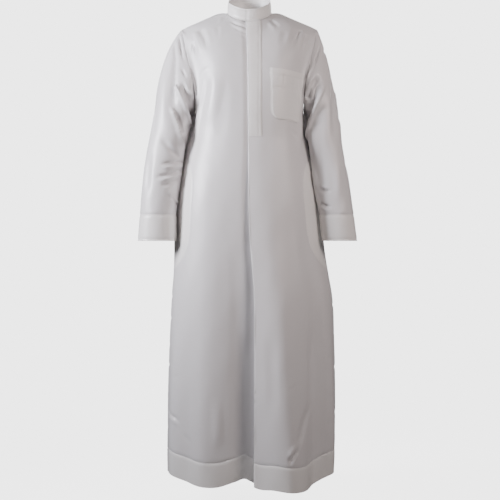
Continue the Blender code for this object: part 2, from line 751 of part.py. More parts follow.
def build_cuff(side):
    turns = arm_turns()[:, None]
    heights = np.linspace(CUFF_TOP - 0.5 * SEAM_GAP, CUFF_BOTTOM, CUFF_STEPS + 1)[None]
    table = SLEEVE_LEFT if side == "left" else SLEEVE_RIGHT
    points = sleeve_ring(table, turns, heights)
    inner = points - grid_normals(points, closed=True) * BAND_CLOTH
    return tube_solid("cuff_" + side, side, points, inner)


def tube_solid(name, side, outer, inner):
    """A closed tube, mirrored to the wearer's right if it belongs there."""
    if side == "right":
        mirror = np.array([-1.0, 1.0, 1.0])
        outer, inner = outer[::-1] * mirror, inner[::-1] * mirror
    return sheet_solid(name, outer, inner, cloth_colour(name + "_cloth"), closed=True)


def build_robe():
    arm, seam = ARMHOLE_STEPS, SHOULDER_STEPS
    half = arm + seam
    mirror = np.array([-1.0, 1.0, 1.0])
    right = front_right_points()
    panels = {"left": front_left_points(), "right": right[::-1] * mirror, "back": back_points()}
    tops = {name: grid_normals(points)[:, -1] for name, points in panels.items()}
    last = {name: len(points) - 1 for name, points in panels.items()}

    # The columns of a half, from the corner at the neck over the shoulder's tip to the underarm
    front = {side: last[side] - half + np.arange(half + 1) for side in ("left", "right")}
    back = {"left": np.arange(half, -1, -1), "right": last["back"] - np.arange(half, -1, -1)}
    to_front, to_back = {}, {}
    for side in ("left", "right"):
        sleeve = sleeve_points(side)
        out = grid_normals(sleeve, closed=True)[:, 0]
        front_out, back_out = tops[side][front[side]], tops["back"][back[side]]
        if side == "right":
            back_out = back_out * mirror
        to_front[side], to_back[side] = np.zeros_like(front_out), np.zeros_like(back_out)
        to_front[side][: seam + 1] += back_out[: seam + 1]
        to_back[side][: seam + 1] += front_out[: seam + 1]
        to_front[side][seam:] += out[: arm + 1]
        to_back[side][seam:] += out[np.arange(2 * arm, arm - 1, -1) % (2 * arm)]
        beside = np.concatenate([front_out[seam:], back_out[-2:seam:-1]])
        beside[0] += back_out[seam]
        build_sleeve(side, sleeve, beside)
        build_cuff(side)
        build_side_pocket(side)

    first_hem_column = PLEAT_UNDER_STEPS + PLEAT_TURN_STEPS + 1
    panel("front_left", panels["left"], ["first", "last"], [(front["left"], to_front["left"])], first_hem_column)
    panel("front_right", right, ["first"], [(last["right"] - front["right"], to_front["right"] * mirror)])
    back_joins = [(back["left"], to_back["left"]), (back["right"], to_back["right"] * mirror)]
    panel("back", panels["back"], ["first", "last"], back_joins)
    build_collar()
    build_placket()
    build_chest_pocket()


for old in list(bpy.data.objects):
    bpy.data.objects.remove(old)
build_robe()
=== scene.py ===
"""The looks of a white, full-length thobe robe in its worn, hollow form.

Each cloth piece of the frame is replaced by a thin shell on the same form, with its creases, seams and
stitches. Metres, +Z up. The front faces -Y, so the wearer's left is +X.

The body is one smooth surface with two coordinates. The angle is measured round the body, from 0 at the
front's middle, 90 at the wearer's left side, to 180 at the back's middle. The level runs up the cloth,
from 0 at the hem and 1 at the chest line to 2 at the edge where the neck, shoulder seam and armhole are.
"""

import bpy
import numpy as np
from bpy.props import FloatProperty, FloatVectorProperty, PointerProperty
from bpy.types import Operator, Panel, PropertyGroup
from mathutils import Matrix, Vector


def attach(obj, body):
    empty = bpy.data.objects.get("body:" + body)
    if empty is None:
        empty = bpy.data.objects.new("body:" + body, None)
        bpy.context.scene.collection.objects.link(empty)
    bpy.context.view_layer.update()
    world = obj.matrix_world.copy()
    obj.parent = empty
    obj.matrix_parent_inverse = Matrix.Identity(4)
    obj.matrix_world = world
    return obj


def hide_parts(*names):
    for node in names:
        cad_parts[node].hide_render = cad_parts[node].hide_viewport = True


bl_info = {
    "name": "Thobe Robe",
    "version": (1, 0, 0),
    "blender": (4, 5, 0),
    "location": "3D View > Sidebar > Robe",
    "description": "Builds a white thobe robe from cloth shells with creases, seams and stitches",
    "category": "Object",
}

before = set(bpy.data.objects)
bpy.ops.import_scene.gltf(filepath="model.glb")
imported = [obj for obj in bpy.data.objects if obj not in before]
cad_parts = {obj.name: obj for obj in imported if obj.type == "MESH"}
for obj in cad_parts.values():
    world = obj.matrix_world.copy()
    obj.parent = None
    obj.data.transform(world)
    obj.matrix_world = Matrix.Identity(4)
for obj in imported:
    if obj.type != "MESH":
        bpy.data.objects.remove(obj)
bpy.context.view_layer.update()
MM = 0.001

# Gaps between the layers of the frame's pieces
LAYER_GAP = 0.0008

# Length of the robe, below the side of the neck, and the chest line
HEM_HEIGHT = -1.435
CHEST_HEIGHT = -0.420
HEM_DEPTH = 0.071
SKIRT_LENGTH = CHEST_HEIGHT - HEM_HEIGHT
HEM_LEVEL = HEM_DEPTH / SKIRT_LENGTH

# Body outline: half the width, its shift to the wearer's left, and the reach to the front and back
SQUARENESS = 2.3
BODY = (
    ("height", "half_width", "shift", "front", "back"),
    (-1.435, 0.2585, 0.004, 0.190, 0.200),
    (-1.366, 0.2600, 0.005, 0.187, 0.198),
    (-1.210, 0.2610, 0.007, 0.180, 0.190),
    (-1.050, 0.2570, 0.008, 0.172, 0.182),
    (-0.866, 0.2480, 0.008, 0.163, 0.170),
    (-0.709, 0.2220, -0.002, 0.155, 0.158),
    (-0.570, 0.2080, -0.005, 0.148, 0.140),
    (-0.500, 0.1965, -0.005, 0.143, 0.130),
    (-0.420, 0.1815, -0.004, 0.138, 0.122),
)

# How much lower than the hem's height the cloth hangs
HEM_LINE = (
    ("angle", "drop"),
    (-180.0, 0.000),
    (-120.0, 0.004),
    (-90.0, -0.008),
    (-66.0, -0.019),
    (-48.0, -0.008),
    (-31.0, 0.006),
    (-20.0, 0.006),
    (-9.0, -0.007),
    (-2.0, -0.013),
    (1.4, 0.000),
    (12.0, 0.006),
    (22.0, 0.013),
    (45.0, 0.006),
    (58.0, -0.012),
    (90.0, -0.020),
    (130.0, 0.004),
    (180.0, 0.000),
)

# Neckline, an ellipse that rises from the front to the back
NECK_HALF_WIDTH = 0.0695
NECK_FRONT = 0.068
NECK_BACK = 0.055
NECK_RISE = 0.464
NECK_BOW = -1.826
SEAM_TURN = 72.0

# Where the columns of the body meet the corners of the top edge, in degrees from the middle
NECK_CORNER = 18.0
TIP_CORNER = 42.0

# Shoulder seam and armhole, for the wearer's left side
SHOULDER_TIP = (0.2120, -0.0040, -0.0530)
UNDERARM = (0.1690, 0.0000, -0.3180)
SHOULDER_SEAM = (
    ("x", "y", "z"),
    (0.0900, -0.0205, -0.0145),
    (0.1150, -0.0190, -0.0210),
    (0.1570, -0.0140, -0.0325),
    (0.1900, -0.0080, -0.0430),
)
ARMHOLE_FRONT = (
    ("off", "turn", "x", "y", "z"),
    (45.0, 18.0, 0.2100, -0.0185, -0.0620),
    (50.0, 40.0, 0.2005, -0.0380, -0.1050),
    (55.0, 66.0, 0.1870, -0.0580, -0.1580),
    (62.0, 103.0, 0.1720, -0.0760, -0.2230),
    (76.0, 145.0, 0.1665, -0.0520, -0.2870),
)
ARMHOLE_BACK = (
    ("off", "turn", "x", "y", "z"),
    (45.0, 18.0, 0.2115, 0.0140, -0.0590),
    (50.0, 40.0, 0.2060, 0.0390, -0.0980),
    (55.0, 66.0, 0.1970, 0.0620, -0.1540),
    (62.0, 103.0, 0.1840, 0.0760, -0.2230),
    (76.0, 145.0, 0.1710, 0.0500, -0.2870),
)

# The way the cloth runs as it reaches the top edge, by degrees from the middle
FRONT_RUN = (
    ("off", "x", "y", "z"),
    (0.0, 0.00, 0.62, 0.88),
    (6.0, 0.00, 0.65, 0.87),
    (12.0, 0.00, 0.80, 0.83),
    (18.0, 0.00, 1.00, 0.75),
    (30.0, 0.20, 1.05, 0.62),
    (42.0, 0.62, 0.95, 0.60),
    (46.5, 0.66, 0.72, 0.62),
    (52.0, 0.58, 0.40, 0.75),
    (62.0, 0.30, 0.10, 0.95),
    (76.0, 0.10, 0.00, 1.00),
    (90.0, 0.00, 0.00, 1.00),
)
BACK_RUN = (
    ("off", "x", "y", "z"),
    (0.0, 0.00, -0.62, 0.78),
    (4.5, 0.00, -0.66, 0.72),
    (9.0, 0.00, -0.80, 0.45),
    (12.0, -0.05, -0.90, 0.20),
    (15.0, -0.17, -1.00, -0.22),
    (18.0, -0.46, -1.10, -0.66),
    (24.0, -0.30, -1.12, -0.64),
    (30.0, -0.08, -1.10, -0.52),
    (42.0, 0.45, -0.90, 0.15),
    (52.0, 0.45, -0.40, 0.75),
    (62.0, 0.30, -0.10, 0.95),
    (76.0, 0.10, 0.00, 1.00),
    (90.0, 0.00, 0.00, 1.00),
)

# Centre pleat: its folded edge and the end of the cloth folded under it, as angles at each level
PLEAT = (
    ("level", "edge", "end"),
    (0.0, 1.4, 6.5),
    (1.0, 0.35, 13.0),
    (2.0, -1.9, 6.0),
)
PLEAT_RADIUS = 0.0015

# The valley beside the pleat, on the wearer's right front
VALLEY_START = 1.10
VALLEY_HEM = 0.045
VALLEY_HALF_ANGLE = 36.0
VALLEY_TURN_IN = 0.40
VALLEY_TURN_ANGLE = 15.0
STEP_HALF_ANGLE = 4.5

# Largest folds: a ridge has a positive height and a valley a negative one. Each grows downwards from
# the level where it starts to the level where it is full, and turns from one angle to the other.
FOLDS = (
    ("start", "full", "angle_top", "angle_hem", "half_angle", "height"),
    (1.05, 0.00, 6.0, 22.0, 24.0, 0.036),
    (0.85, 0.35, 47.0, 46.0, 13.0, -0.012),
    (0.60, 0.00, 64.0, 66.0, 13.0, 0.012),
    (0.70, 0.05, -58.0, -60.0, 18.0, 0.012),
    (0.95, 0.05, 118.0, 122.0, 15.0, -0.022),
    (0.95, 0.00, 142.0, 146.0, 15.0, 0.020),
    (1.00, 0.05, 166.0, 169.0, 15.0, -0.020),
    (1.00, 0.00, 190.0, 193.0, 15.0, 0.018),
    (0.95, 0.05, 212.0, 216.0, 15.0, -0.022),
    (0.90, 0.00, 236.0, 240.0, 15.0, 0.018),
)

# Sleeves: where each section begins and ends across, its middle and its half depth
SLEEVE_LEFT = (
    ("height", "inner", "outer", "y", "half_depth"),
    (-0.712, 0.2225, 0.3315, -0.045, 0.047),
    (-0.630, 0.2150, 0.3210, -0.042, 0.048),
    (-0.545, 0.2075, 0.3105, -0.034, 0.051),
    (-0.460, 0.1960, 0.2975, -0.026, 0.057),
    (-0.380, 0.1780, 0.2850, -0.018, 0.064),
)
SLEEVE_RIGHT = (
    ("height", "inner", "outer", "y", "half_depth"),
    (-0.712, 0.2235, 0.3430, -0.045, 0.049),
    (-0.630, 0.2245, 0.3370, -0.042, 0.050),
    (-0.505, 0.2110, 0.3265, -0.032, 0.055),
    (-0.440, 0.2000, 0.3180, -0.024, 0.060),
    (-0.380, 0.1850, 0.3080, -0.018, 0.066),
)
SLEEVE_START = -0.380
CUFF_TOP = -0.632
CUFF_BOTTOM = -0.712

# The way the cloth of a sleeve leaves the armhole, by the turn round the arm from its outer side
SLEEVE_LEAVE = (
    ("turn", "left_out", "right_out", "ahead", "up"),
    (0.0, 0.34, 0.68, 0.00, -0.85),
    (45.0, 0.45, 0.65, 0.20, -0.80),
    (90.0, 0.60, 0.65, 0.35, -0.75),
    (135.0, 0.60, 0.60, 0.25, -0.80),
    (180.0, 0.75, 0.75, 0.00, -0.66),
)

# Large folds of the sleeves, by the share of the way down: below 1 they lie above the armpit's level
SLEEVE_FOLDS = (
    ("side", "from_share", "to_share", "from_turn", "to_turn", "half_turn", "height"),
    ("left", 0.25, 1.15, 70.0, 130.0, 45.0, -0.009),
    ("left", 0.60, 1.50, 90.0, 140.0, 45.0, 0.006),
    ("left", 0.10, 1.00, 285.0, 250.0, 45.0, -0.008),
    ("right", 0.20, 1.10, 60.0, 125.0, 45.0, -0.009),
    ("right", 0.55, 1.45, 90.0, 140.0, 45.0, 0.006),
    ("right", 0.10, 1.00, 285.0, 250.0, 45.0, -0.008),
)

# Collar band
COLLAR_HEIGHT = 0.0370
COLLAR_LEAN = 0.0030
COLLAR_INSET = 0.0028
COLLAR_BLEND_TURN = 35.0
COLLAR_CORNER = 0.011
COLLAR_CLOTH = 0.0018
COLLAR_SINK = 0.0012

# Placket, as angles at each level
PLACKET = (
    ("level", "inner", "outer"),
    (1.0, 0.6, 11.5),
    (1.5, -0.1, 10.3),
    (2.0, -1.7, 7.6),
)
PLACKET_END = 1.05

# Chest pocket: its outline as seen from the front
POCKET_TOP = ((0.0605, -0.1930), (0.1660, -0.2030))
POCKET_LOW = ((0.0640, -0.3450), (0.1500, -0.3540))
POCKET_RADIUS = (0.026, 0.008)

# Pocket bags behind the side seams
BAG_TOP = 0.955
BAG_LOW = 0.630
BAG_ANGLE = 52.0
BAG_END = 0.97

# A crease runs from one place to another, as seen from one side, and bows out between them.
# It is a ridge where its height is above 0 and a trough below it, wider on the side that it leans to,
# and fades in and out over shares of its length.
CREASE_COLUMNS = (
    "view",
    "across",
    "z",
    "to_across",
    "to_z",
    "bow",
    "half_width",
    "height",
    "lean",
    "fade_in",
    "fade_out",
)

# Creases of the body as seen from one side. From the front and back, across is x; from the left and
# right, it is y. A trough has a negative height. The lean widens one flank and narrows the other, and
# the last two columns say over which share of its length a crease fades in and out.
BODY_CREASES = (
    CREASE_COLUMNS,
    # The wearer's right shoulder, beside the collar and the placket
    ("front", -0.064, -0.034, -0.007, -0.063, -0.004, 0.0075, -0.0034, 0.2, 0.40, 0.10),
    ("front", -0.060, -0.043, -0.007, -0.073, -0.005, 0.0075, 0.0016, 0.0, 0.40, 0.15),
    ("front", -0.050, -0.058, -0.007, -0.084, -0.004, 0.0080, -0.0017, 0.2, 0.45, 0.15),
    ("front", -0.044, -0.072, -0.007, -0.097, -0.003, 0.0110, -0.0010, 0.0, 0.45, 0.15),
    ("front", -0.078, -0.016, -0.084, -0.040, 0.000, 0.0060, -0.0025, 0.0, 0.10, 0.60),
    ("front", -0.086, -0.020, -0.094, -0.050, 0.000, 0.0070, 0.0012, 0.0, 0.10, 0.60),
    ("front", -0.097, -0.052, -0.098, -0.115, 0.002, 0.0120, -0.0016, -0.3, 0.20, 0.60),
    ("front", -0.156, -0.060, -0.128, -0.140, 0.004, 0.0140, -0.0060, 0.3, 0.15, 0.55),
    ("front", -0.172, -0.066, -0.146, -0.150, 0.003, 0.0100, 0.0026, 0.0, 0.15, 0.55),
    ("front", -0.186, -0.066, -0.162, -0.158, 0.003, 0.0090, -0.0045, 0.2, 0.10, 0.50),
    ("front", -0.194, -0.080, -0.170, -0.195, 0.002, 0.0055, -0.0035, 0.0, 0.15, 0.30),
    ("front", -0.120, -0.060, -0.108, -0.130, 0.003, 0.0150, -0.0014, 0.0, 0.25, 0.60),
    ("front", -0.153, -0.212, -0.116, -0.190, 0.006, 0.0060, 0.0011, 0.0, 0.40, 0.40),
    ("front", -0.100, -0.190, -0.143, -0.380, 0.012, 0.0300, 0.0042, 0.2, 0.30, 0.40),
    ("front", -0.128, -0.210, -0.160, -0.360, 0.006, 0.0160, -0.0030, 0.0, 0.30, 0.40),
    ("front", -0.078, -0.220, -0.098, -0.430, 0.008, 0.0280, -0.0022, 0.0, 0.40, 0.40),
    ("front", -0.150, -0.300, -0.168, -0.420, 0.002, 0.0120, 0.0020, 0.0, 0.30, 0.40),
    # The wearer's left shoulder and chest
    ("front", 0.062, -0.032, 0.090, -0.064, 0.002, 0.0095, -0.0026, 0.2, 0.10, 0.50),
    ("front", 0.057, -0.043, 0.080, -0.080, 0.002, 0.0090, 0.0014, 0.0, 0.20, 0.50),
    ("front", 0.157, -0.060, 0.135, -0.132, -0.003, 0.0085, -0.0056, -0.3, 0.12, 0.50),
    ("front", 0.143, -0.060, 0.122, -0.114, -0.002, 0.0085, -0.0028, 0.0, 0.15, 0.50),
    ("front", 0.170, -0.066, 0.149, -0.140, -0.002, 0.0090, 0.0024, 0.0, 0.15, 0.50),
    ("front", 0.182, -0.070, 0.160, -0.136, -0.003, 0.0090, -0.0038, 0.0, 0.12, 0.50),
    ("front", 0.197, -0.080, 0.174, -0.195, -0.002, 0.0055, -0.0030, 0.0, 0.15, 0.30),
    ("front", 0.110, -0.070, 0.098, -0.130, -0.002, 0.0150, -0.0014, 0.0, 0.25, 0.60),
    ("front", 0.118, -0.366, 0.162, -0.398, -0.007, 0.0110, -0.0016, 0.0, 0.30, 0.40),
    ("front", 0.160, -0.320, 0.140, -0.470, 0.004, 0.0200, 0.0026, 0.0, 0.20, 0.50),
    ("front", 0.168, -0.330, 0.160, -0.450, 0.002, 0.0100, -0.0022, 0.0, 0.15, 0.50),
    # The front of the skirt
    ("front", -0.252, -1.233, -0.203, -1.258, 0.001, 0.0065, -0.0042, 0.3, 0.10, 0.50),
    ("front", -0.248, -1.244, -0.208, -1.268, 0.001, 0.0070, 0.0022, 0.0, 0.15, 0.50),
    ("front", -0.165, -1.158, -0.149, -1.208, 0.002, 0.0060, -0.0012, 0.0, 0.40, 0.40),
    ("front", -0.228, -1.040, -0.200, -1.052, 0.001, 0.0060, -0.0010, 0.0, 0.30, 0.50),
    ("front", -0.236, -1.130, -0.206, -1.118, 0.001, 0.0070, -0.0012, 0.0, 0.30, 0.50),
    ("front", -0.205, -1.290, -0.170, -1.318, 0.002, 0.0090, -0.0014, 0.0, 0.40, 0.30),
    ("front", -0.100, -1.170, -0.094, -1.330, 0.002, 0.0220, 0.0022, 0.0, 0.40, 0.30),
    ("front", 0.118, -1.360, 0.150, -1.312, -0.002, 0.0085, -0.0070, 0.5, 0.04, 0.60),
    ("front", 0.112, -1.345, 0.140, -1.300, -0.002, 0.0120, 0.0028, 0.0, 0.20, 0.60),
    ("front", 0.144, -1.322, 0.187, -1.190, 0.003, 0.0200, -0.0050, 0.3, 0.25, 0.40),
    ("front", 0.186, -1.230, 0.190, -0.940, 0.003, 0.0260, -0.0040, 0.0, 0.35, 0.50),
    ("front", 0.112, -1.138, 0.138, -1.121, -0.005, 0.0050, 0.0014, 0.0, 0.30, 0.30),
    ("front", 0.114, -1.146, 0.140, -1.130, -0.005, 0.0060, -0.0012, 0.0, 0.30, 0.30),
    ("front", 0.008, -1.154, 0.036, -1.163, 0.001, 0.0050, -0.0016, 0.0, 0.05, 0.60),
    ("front", 0.008, -1.182, 0.032, -1.190, 0.001, 0.0050, -0.0012, 0.0, 0.05, 0.60),
    ("front", 0.008, -1.212, 0.026, -1.214, 0.001, 0.0045, -0.0009, 0.0, 0.05, 0.60),
    ("front", 0.230, -1.075, 0.252, -1.064, 0.001, 0.0065, -0.0014, 0.0, 0.40, 0.10),
    ("front", 0.226, -1.180, 0.250, -1.190, 0.001, 0.0060, -0.0012, 0.0, 0.40, 0.10),
    ("front", 0.232, -1.268, 0.250, -1.262, 0.001, 0.0060, -0.0014, 0.0, 0.40, 0.10),
    ("front", 0.060, -0.960, 0.066, -1.250, 0.004, 0.0240, -0.0020, 0.0, 0.40, 0.40),
    # The back
    ("back", -0.046, -0.026, 0.042, -0.024, -0.010, 0.0100, 0.0020, 0.0, 0.30, 0.30),
    ("back", -0.058, -0.046, 0.060, -0.042, -0.012, 0.0130, -0.0024, 0.0, 0.30, 0.30),
    ("back", 0.170, -0.090, 0.084, -0.225, -0.012, 0.0180, -0.0038, 0.2, 0.15, 0.60),
    ("back", -0.168, -0.085, -0.090, -0.205, 0.010, 0.0160, -0.0042, -0.2, 0.15, 0.60),
    ("back", 0.140, -0.060, 0.098, -0.135, -0.004, 0.0110, -0.0030, 0.0, 0.15, 0.60),
    ("back", -0.128, -0.056, -0.105, -0.120, 0.003, 0.0100, -0.0024, 0.0, 0.15, 0.60),
    ("back", 0.192, -0.140, 0.150, -0.285, -0.004, 0.0110, -0.0040, 0.0, 0.08, 0.50),
    ("back", -0.194, -0.130, -0.156, -0.265, 0.004, 0.0100, -0.0044, 0.0, 0.08, 0.50),
    ("back", 0.182, -0.200, 0.138, -0.370, -0.004, 0.0160, 0.0036, 0.0, 0.12, 0.50),
    ("back", -0.186, -0.190, -0.140, -0.350, 0.004, 0.0150, 0.0034, 0.0, 0.12, 0.50),
    ("back", 0.172, -0.270, 0.150, -0.430, -0.002, 0.0120, -0.0036, 0.0, 0.10, 0.50),
    ("back", -0.172, -0.265, -0.146, -0.415, 0.002, 0.0130, -0.0034, 0.0, 0.10, 0.50),
    ("back", 0.072, -0.280, 0.064, -0.640, 0.004, 0.0300, -0.0050, 0.2, 0.40, 0.50),
    ("back", -0.056, -0.270, -0.072, -0.600, 0.003, 0.0270, -0.0044, 0.0, 0.40, 0.50),
    ("back", 0.010, -0.330, -0.004, -0.720, 0.004, 0.0340, 0.0040, 0.0, 0.40, 0.50),
    ("back", 0.118, -0.350, 0.122, -0.620, 0.002, 0.0240, 0.0036, 0.0, 0.30, 0.50),
    ("back", -0.120, -0.340, -0.128, -0.640, 0.002, 0.0230, 0.0030, 0.0, 0.30, 0.50),
    ("back", 0.034, -0.515, 0.112, -0.548, 0.004, 0.0110, -0.0020, 0.0, 0.40, 0.40),
    ("back", -0.018, -0.495, -0.104, -0.530, 0.004, 0.0120, -0.0022, 0.0, 0.40, 0.40),
    ("back", 0.056, -0.600, -0.038, -0.617, 0.003, 0.0140, 0.0015, 0.0, 0.40, 0.40),
    ("back", 0.118, -1.246, 0.158, -1.214, -0.002, 0.0065, -0.0028, 0.3, 0.20, 0.50),
    ("back", 0.112, -1.258, 0.150, -1.228, -0.002, 0.0080, 0.0016, 0.0, 0.20, 0.50),
    ("back", -0.098, -1.350, -0.128, -1.240, 0.003, 0.0100, -0.0052, 0.4, 0.05, 0.60),
    ("back", 0.036, -1.356, 0.058, -1.270, 0.002, 0.0090, -0.0042, 0.3, 0.05, 0.60),
    ("back", -0.028, -1.118, -0.047, -1.162, 0.001, 0.0060, -0.0013, 0.0, 0.40, 0.40),
    ("back", 0.196, -1.090, 0.180, -1.136, 0.001, 0.0070, -0.0016, 0.0, 0.40, 0.40),
    ("back", 0.150, -0.900, 0.172, -1.390, 0.005, 0.0200, 0.0040, 0.0, 0.50, 0.20),
    ("back", -0.185, -0.860, -0.205, -1.350, 0.005, 0.0220, -0.0040, 0.0, 0.50, 0.20),
    # The wearer's left side
    ("left", -0.050, -0.900, 0.020, -0.926, 0.003, 0.0090, -0.0020, 0.0, 0.40, 0.40),
    ("left", -0.030, -1.000, 0.040, -0.984, 0.003, 0.0080, -0.0018, 0.0, 0.40, 0.40),
    ("left", -0.060, -1.096, 0.010, -1.112, 0.003, 0.0085, -0.0024, 0.0, 0.40, 0.40),
    ("left", -0.020, -1.170, 0.046, -1.156, 0.003, 0.0080, -0.0018, 0.0, 0.40, 0.40),
    ("left", -0.050, -1.238, 0.014, -1.252, 0.003, 0.0075, -0.0022, 0.0, 0.40, 0.40),
    ("left", -0.030, -1.306, 0.030, -1.300, 0.003, 0.0075, -0.0020, 0.0, 0.40, 0.40),
    ("left", 0.070, -0.480, 0.020, -0.700, 0.004, 0.0180, 0.0030, 0.0, 0.40, 0.50),
    ("left", 0.050, -0.440, 0.044, -0.620, 0.004, 0.0140, -0.0030, 0.0, 0.40, 0.50),
    ("left", 0.014, -0.306, 0.024, -0.880, 0.000, 0.0460, 0.0165, 0.0, 0.03, 0.40),
    ("left", -0.026, -0.360, -0.020, -0.760, 0.000, 0.0380, 0.0055, 0.0, 0.20, 0.50),
    # The wearer's right side
    ("right", -0.046, -0.880, 0.020, -0.896, 0.003, 0.0080, -0.0018, 0.0, 0.40, 0.40),
    ("right", -0.060, -0.962, 0.012, -0.950, 0.003, 0.0085, -0.0022, 0.0, 0.40, 0.40),
    ("right", -0.040, -1.030, 0.030, -1.048, 0.003, 0.0080, -0.0018, 0.0, 0.40, 0.40),
    ("right", -0.056, -1.104, 0.018, -1.094, 0.003, 0.0085, -0.0024, 0.0, 0.40, 0.40),
    ("right", -0.030, -1.176, 0.044, -1.190, 0.003, 0.0080, -0.0020, 0.0, 0.40, 0.40),
    ("right", -0.050, -1.296, 0.012, -1.286, 0.003, 0.0080, -0.0022, 0.0, 0.40, 0.40),
    ("right", 0.014, -0.306, 0.026, -0.880, 0.000, 0.0460, 0.0160, 0.0, 0.03, 0.40),
    ("right", -0.026, -0.350, -0.020, -0.760, 0.000, 0.0380, 0.0070, 0.0, 0.15, 0.50),
    ("right", 0.062, -0.470, 0.026, -0.690, 0.004, 0.0170, 0.0030, 0.0, 0.40, 0.50),
    ("right", 0.046, -0.450, 0.052, -0.610, 0.004, 0.0130, -0.0030, 0.0, 0.40, 0.50),
)

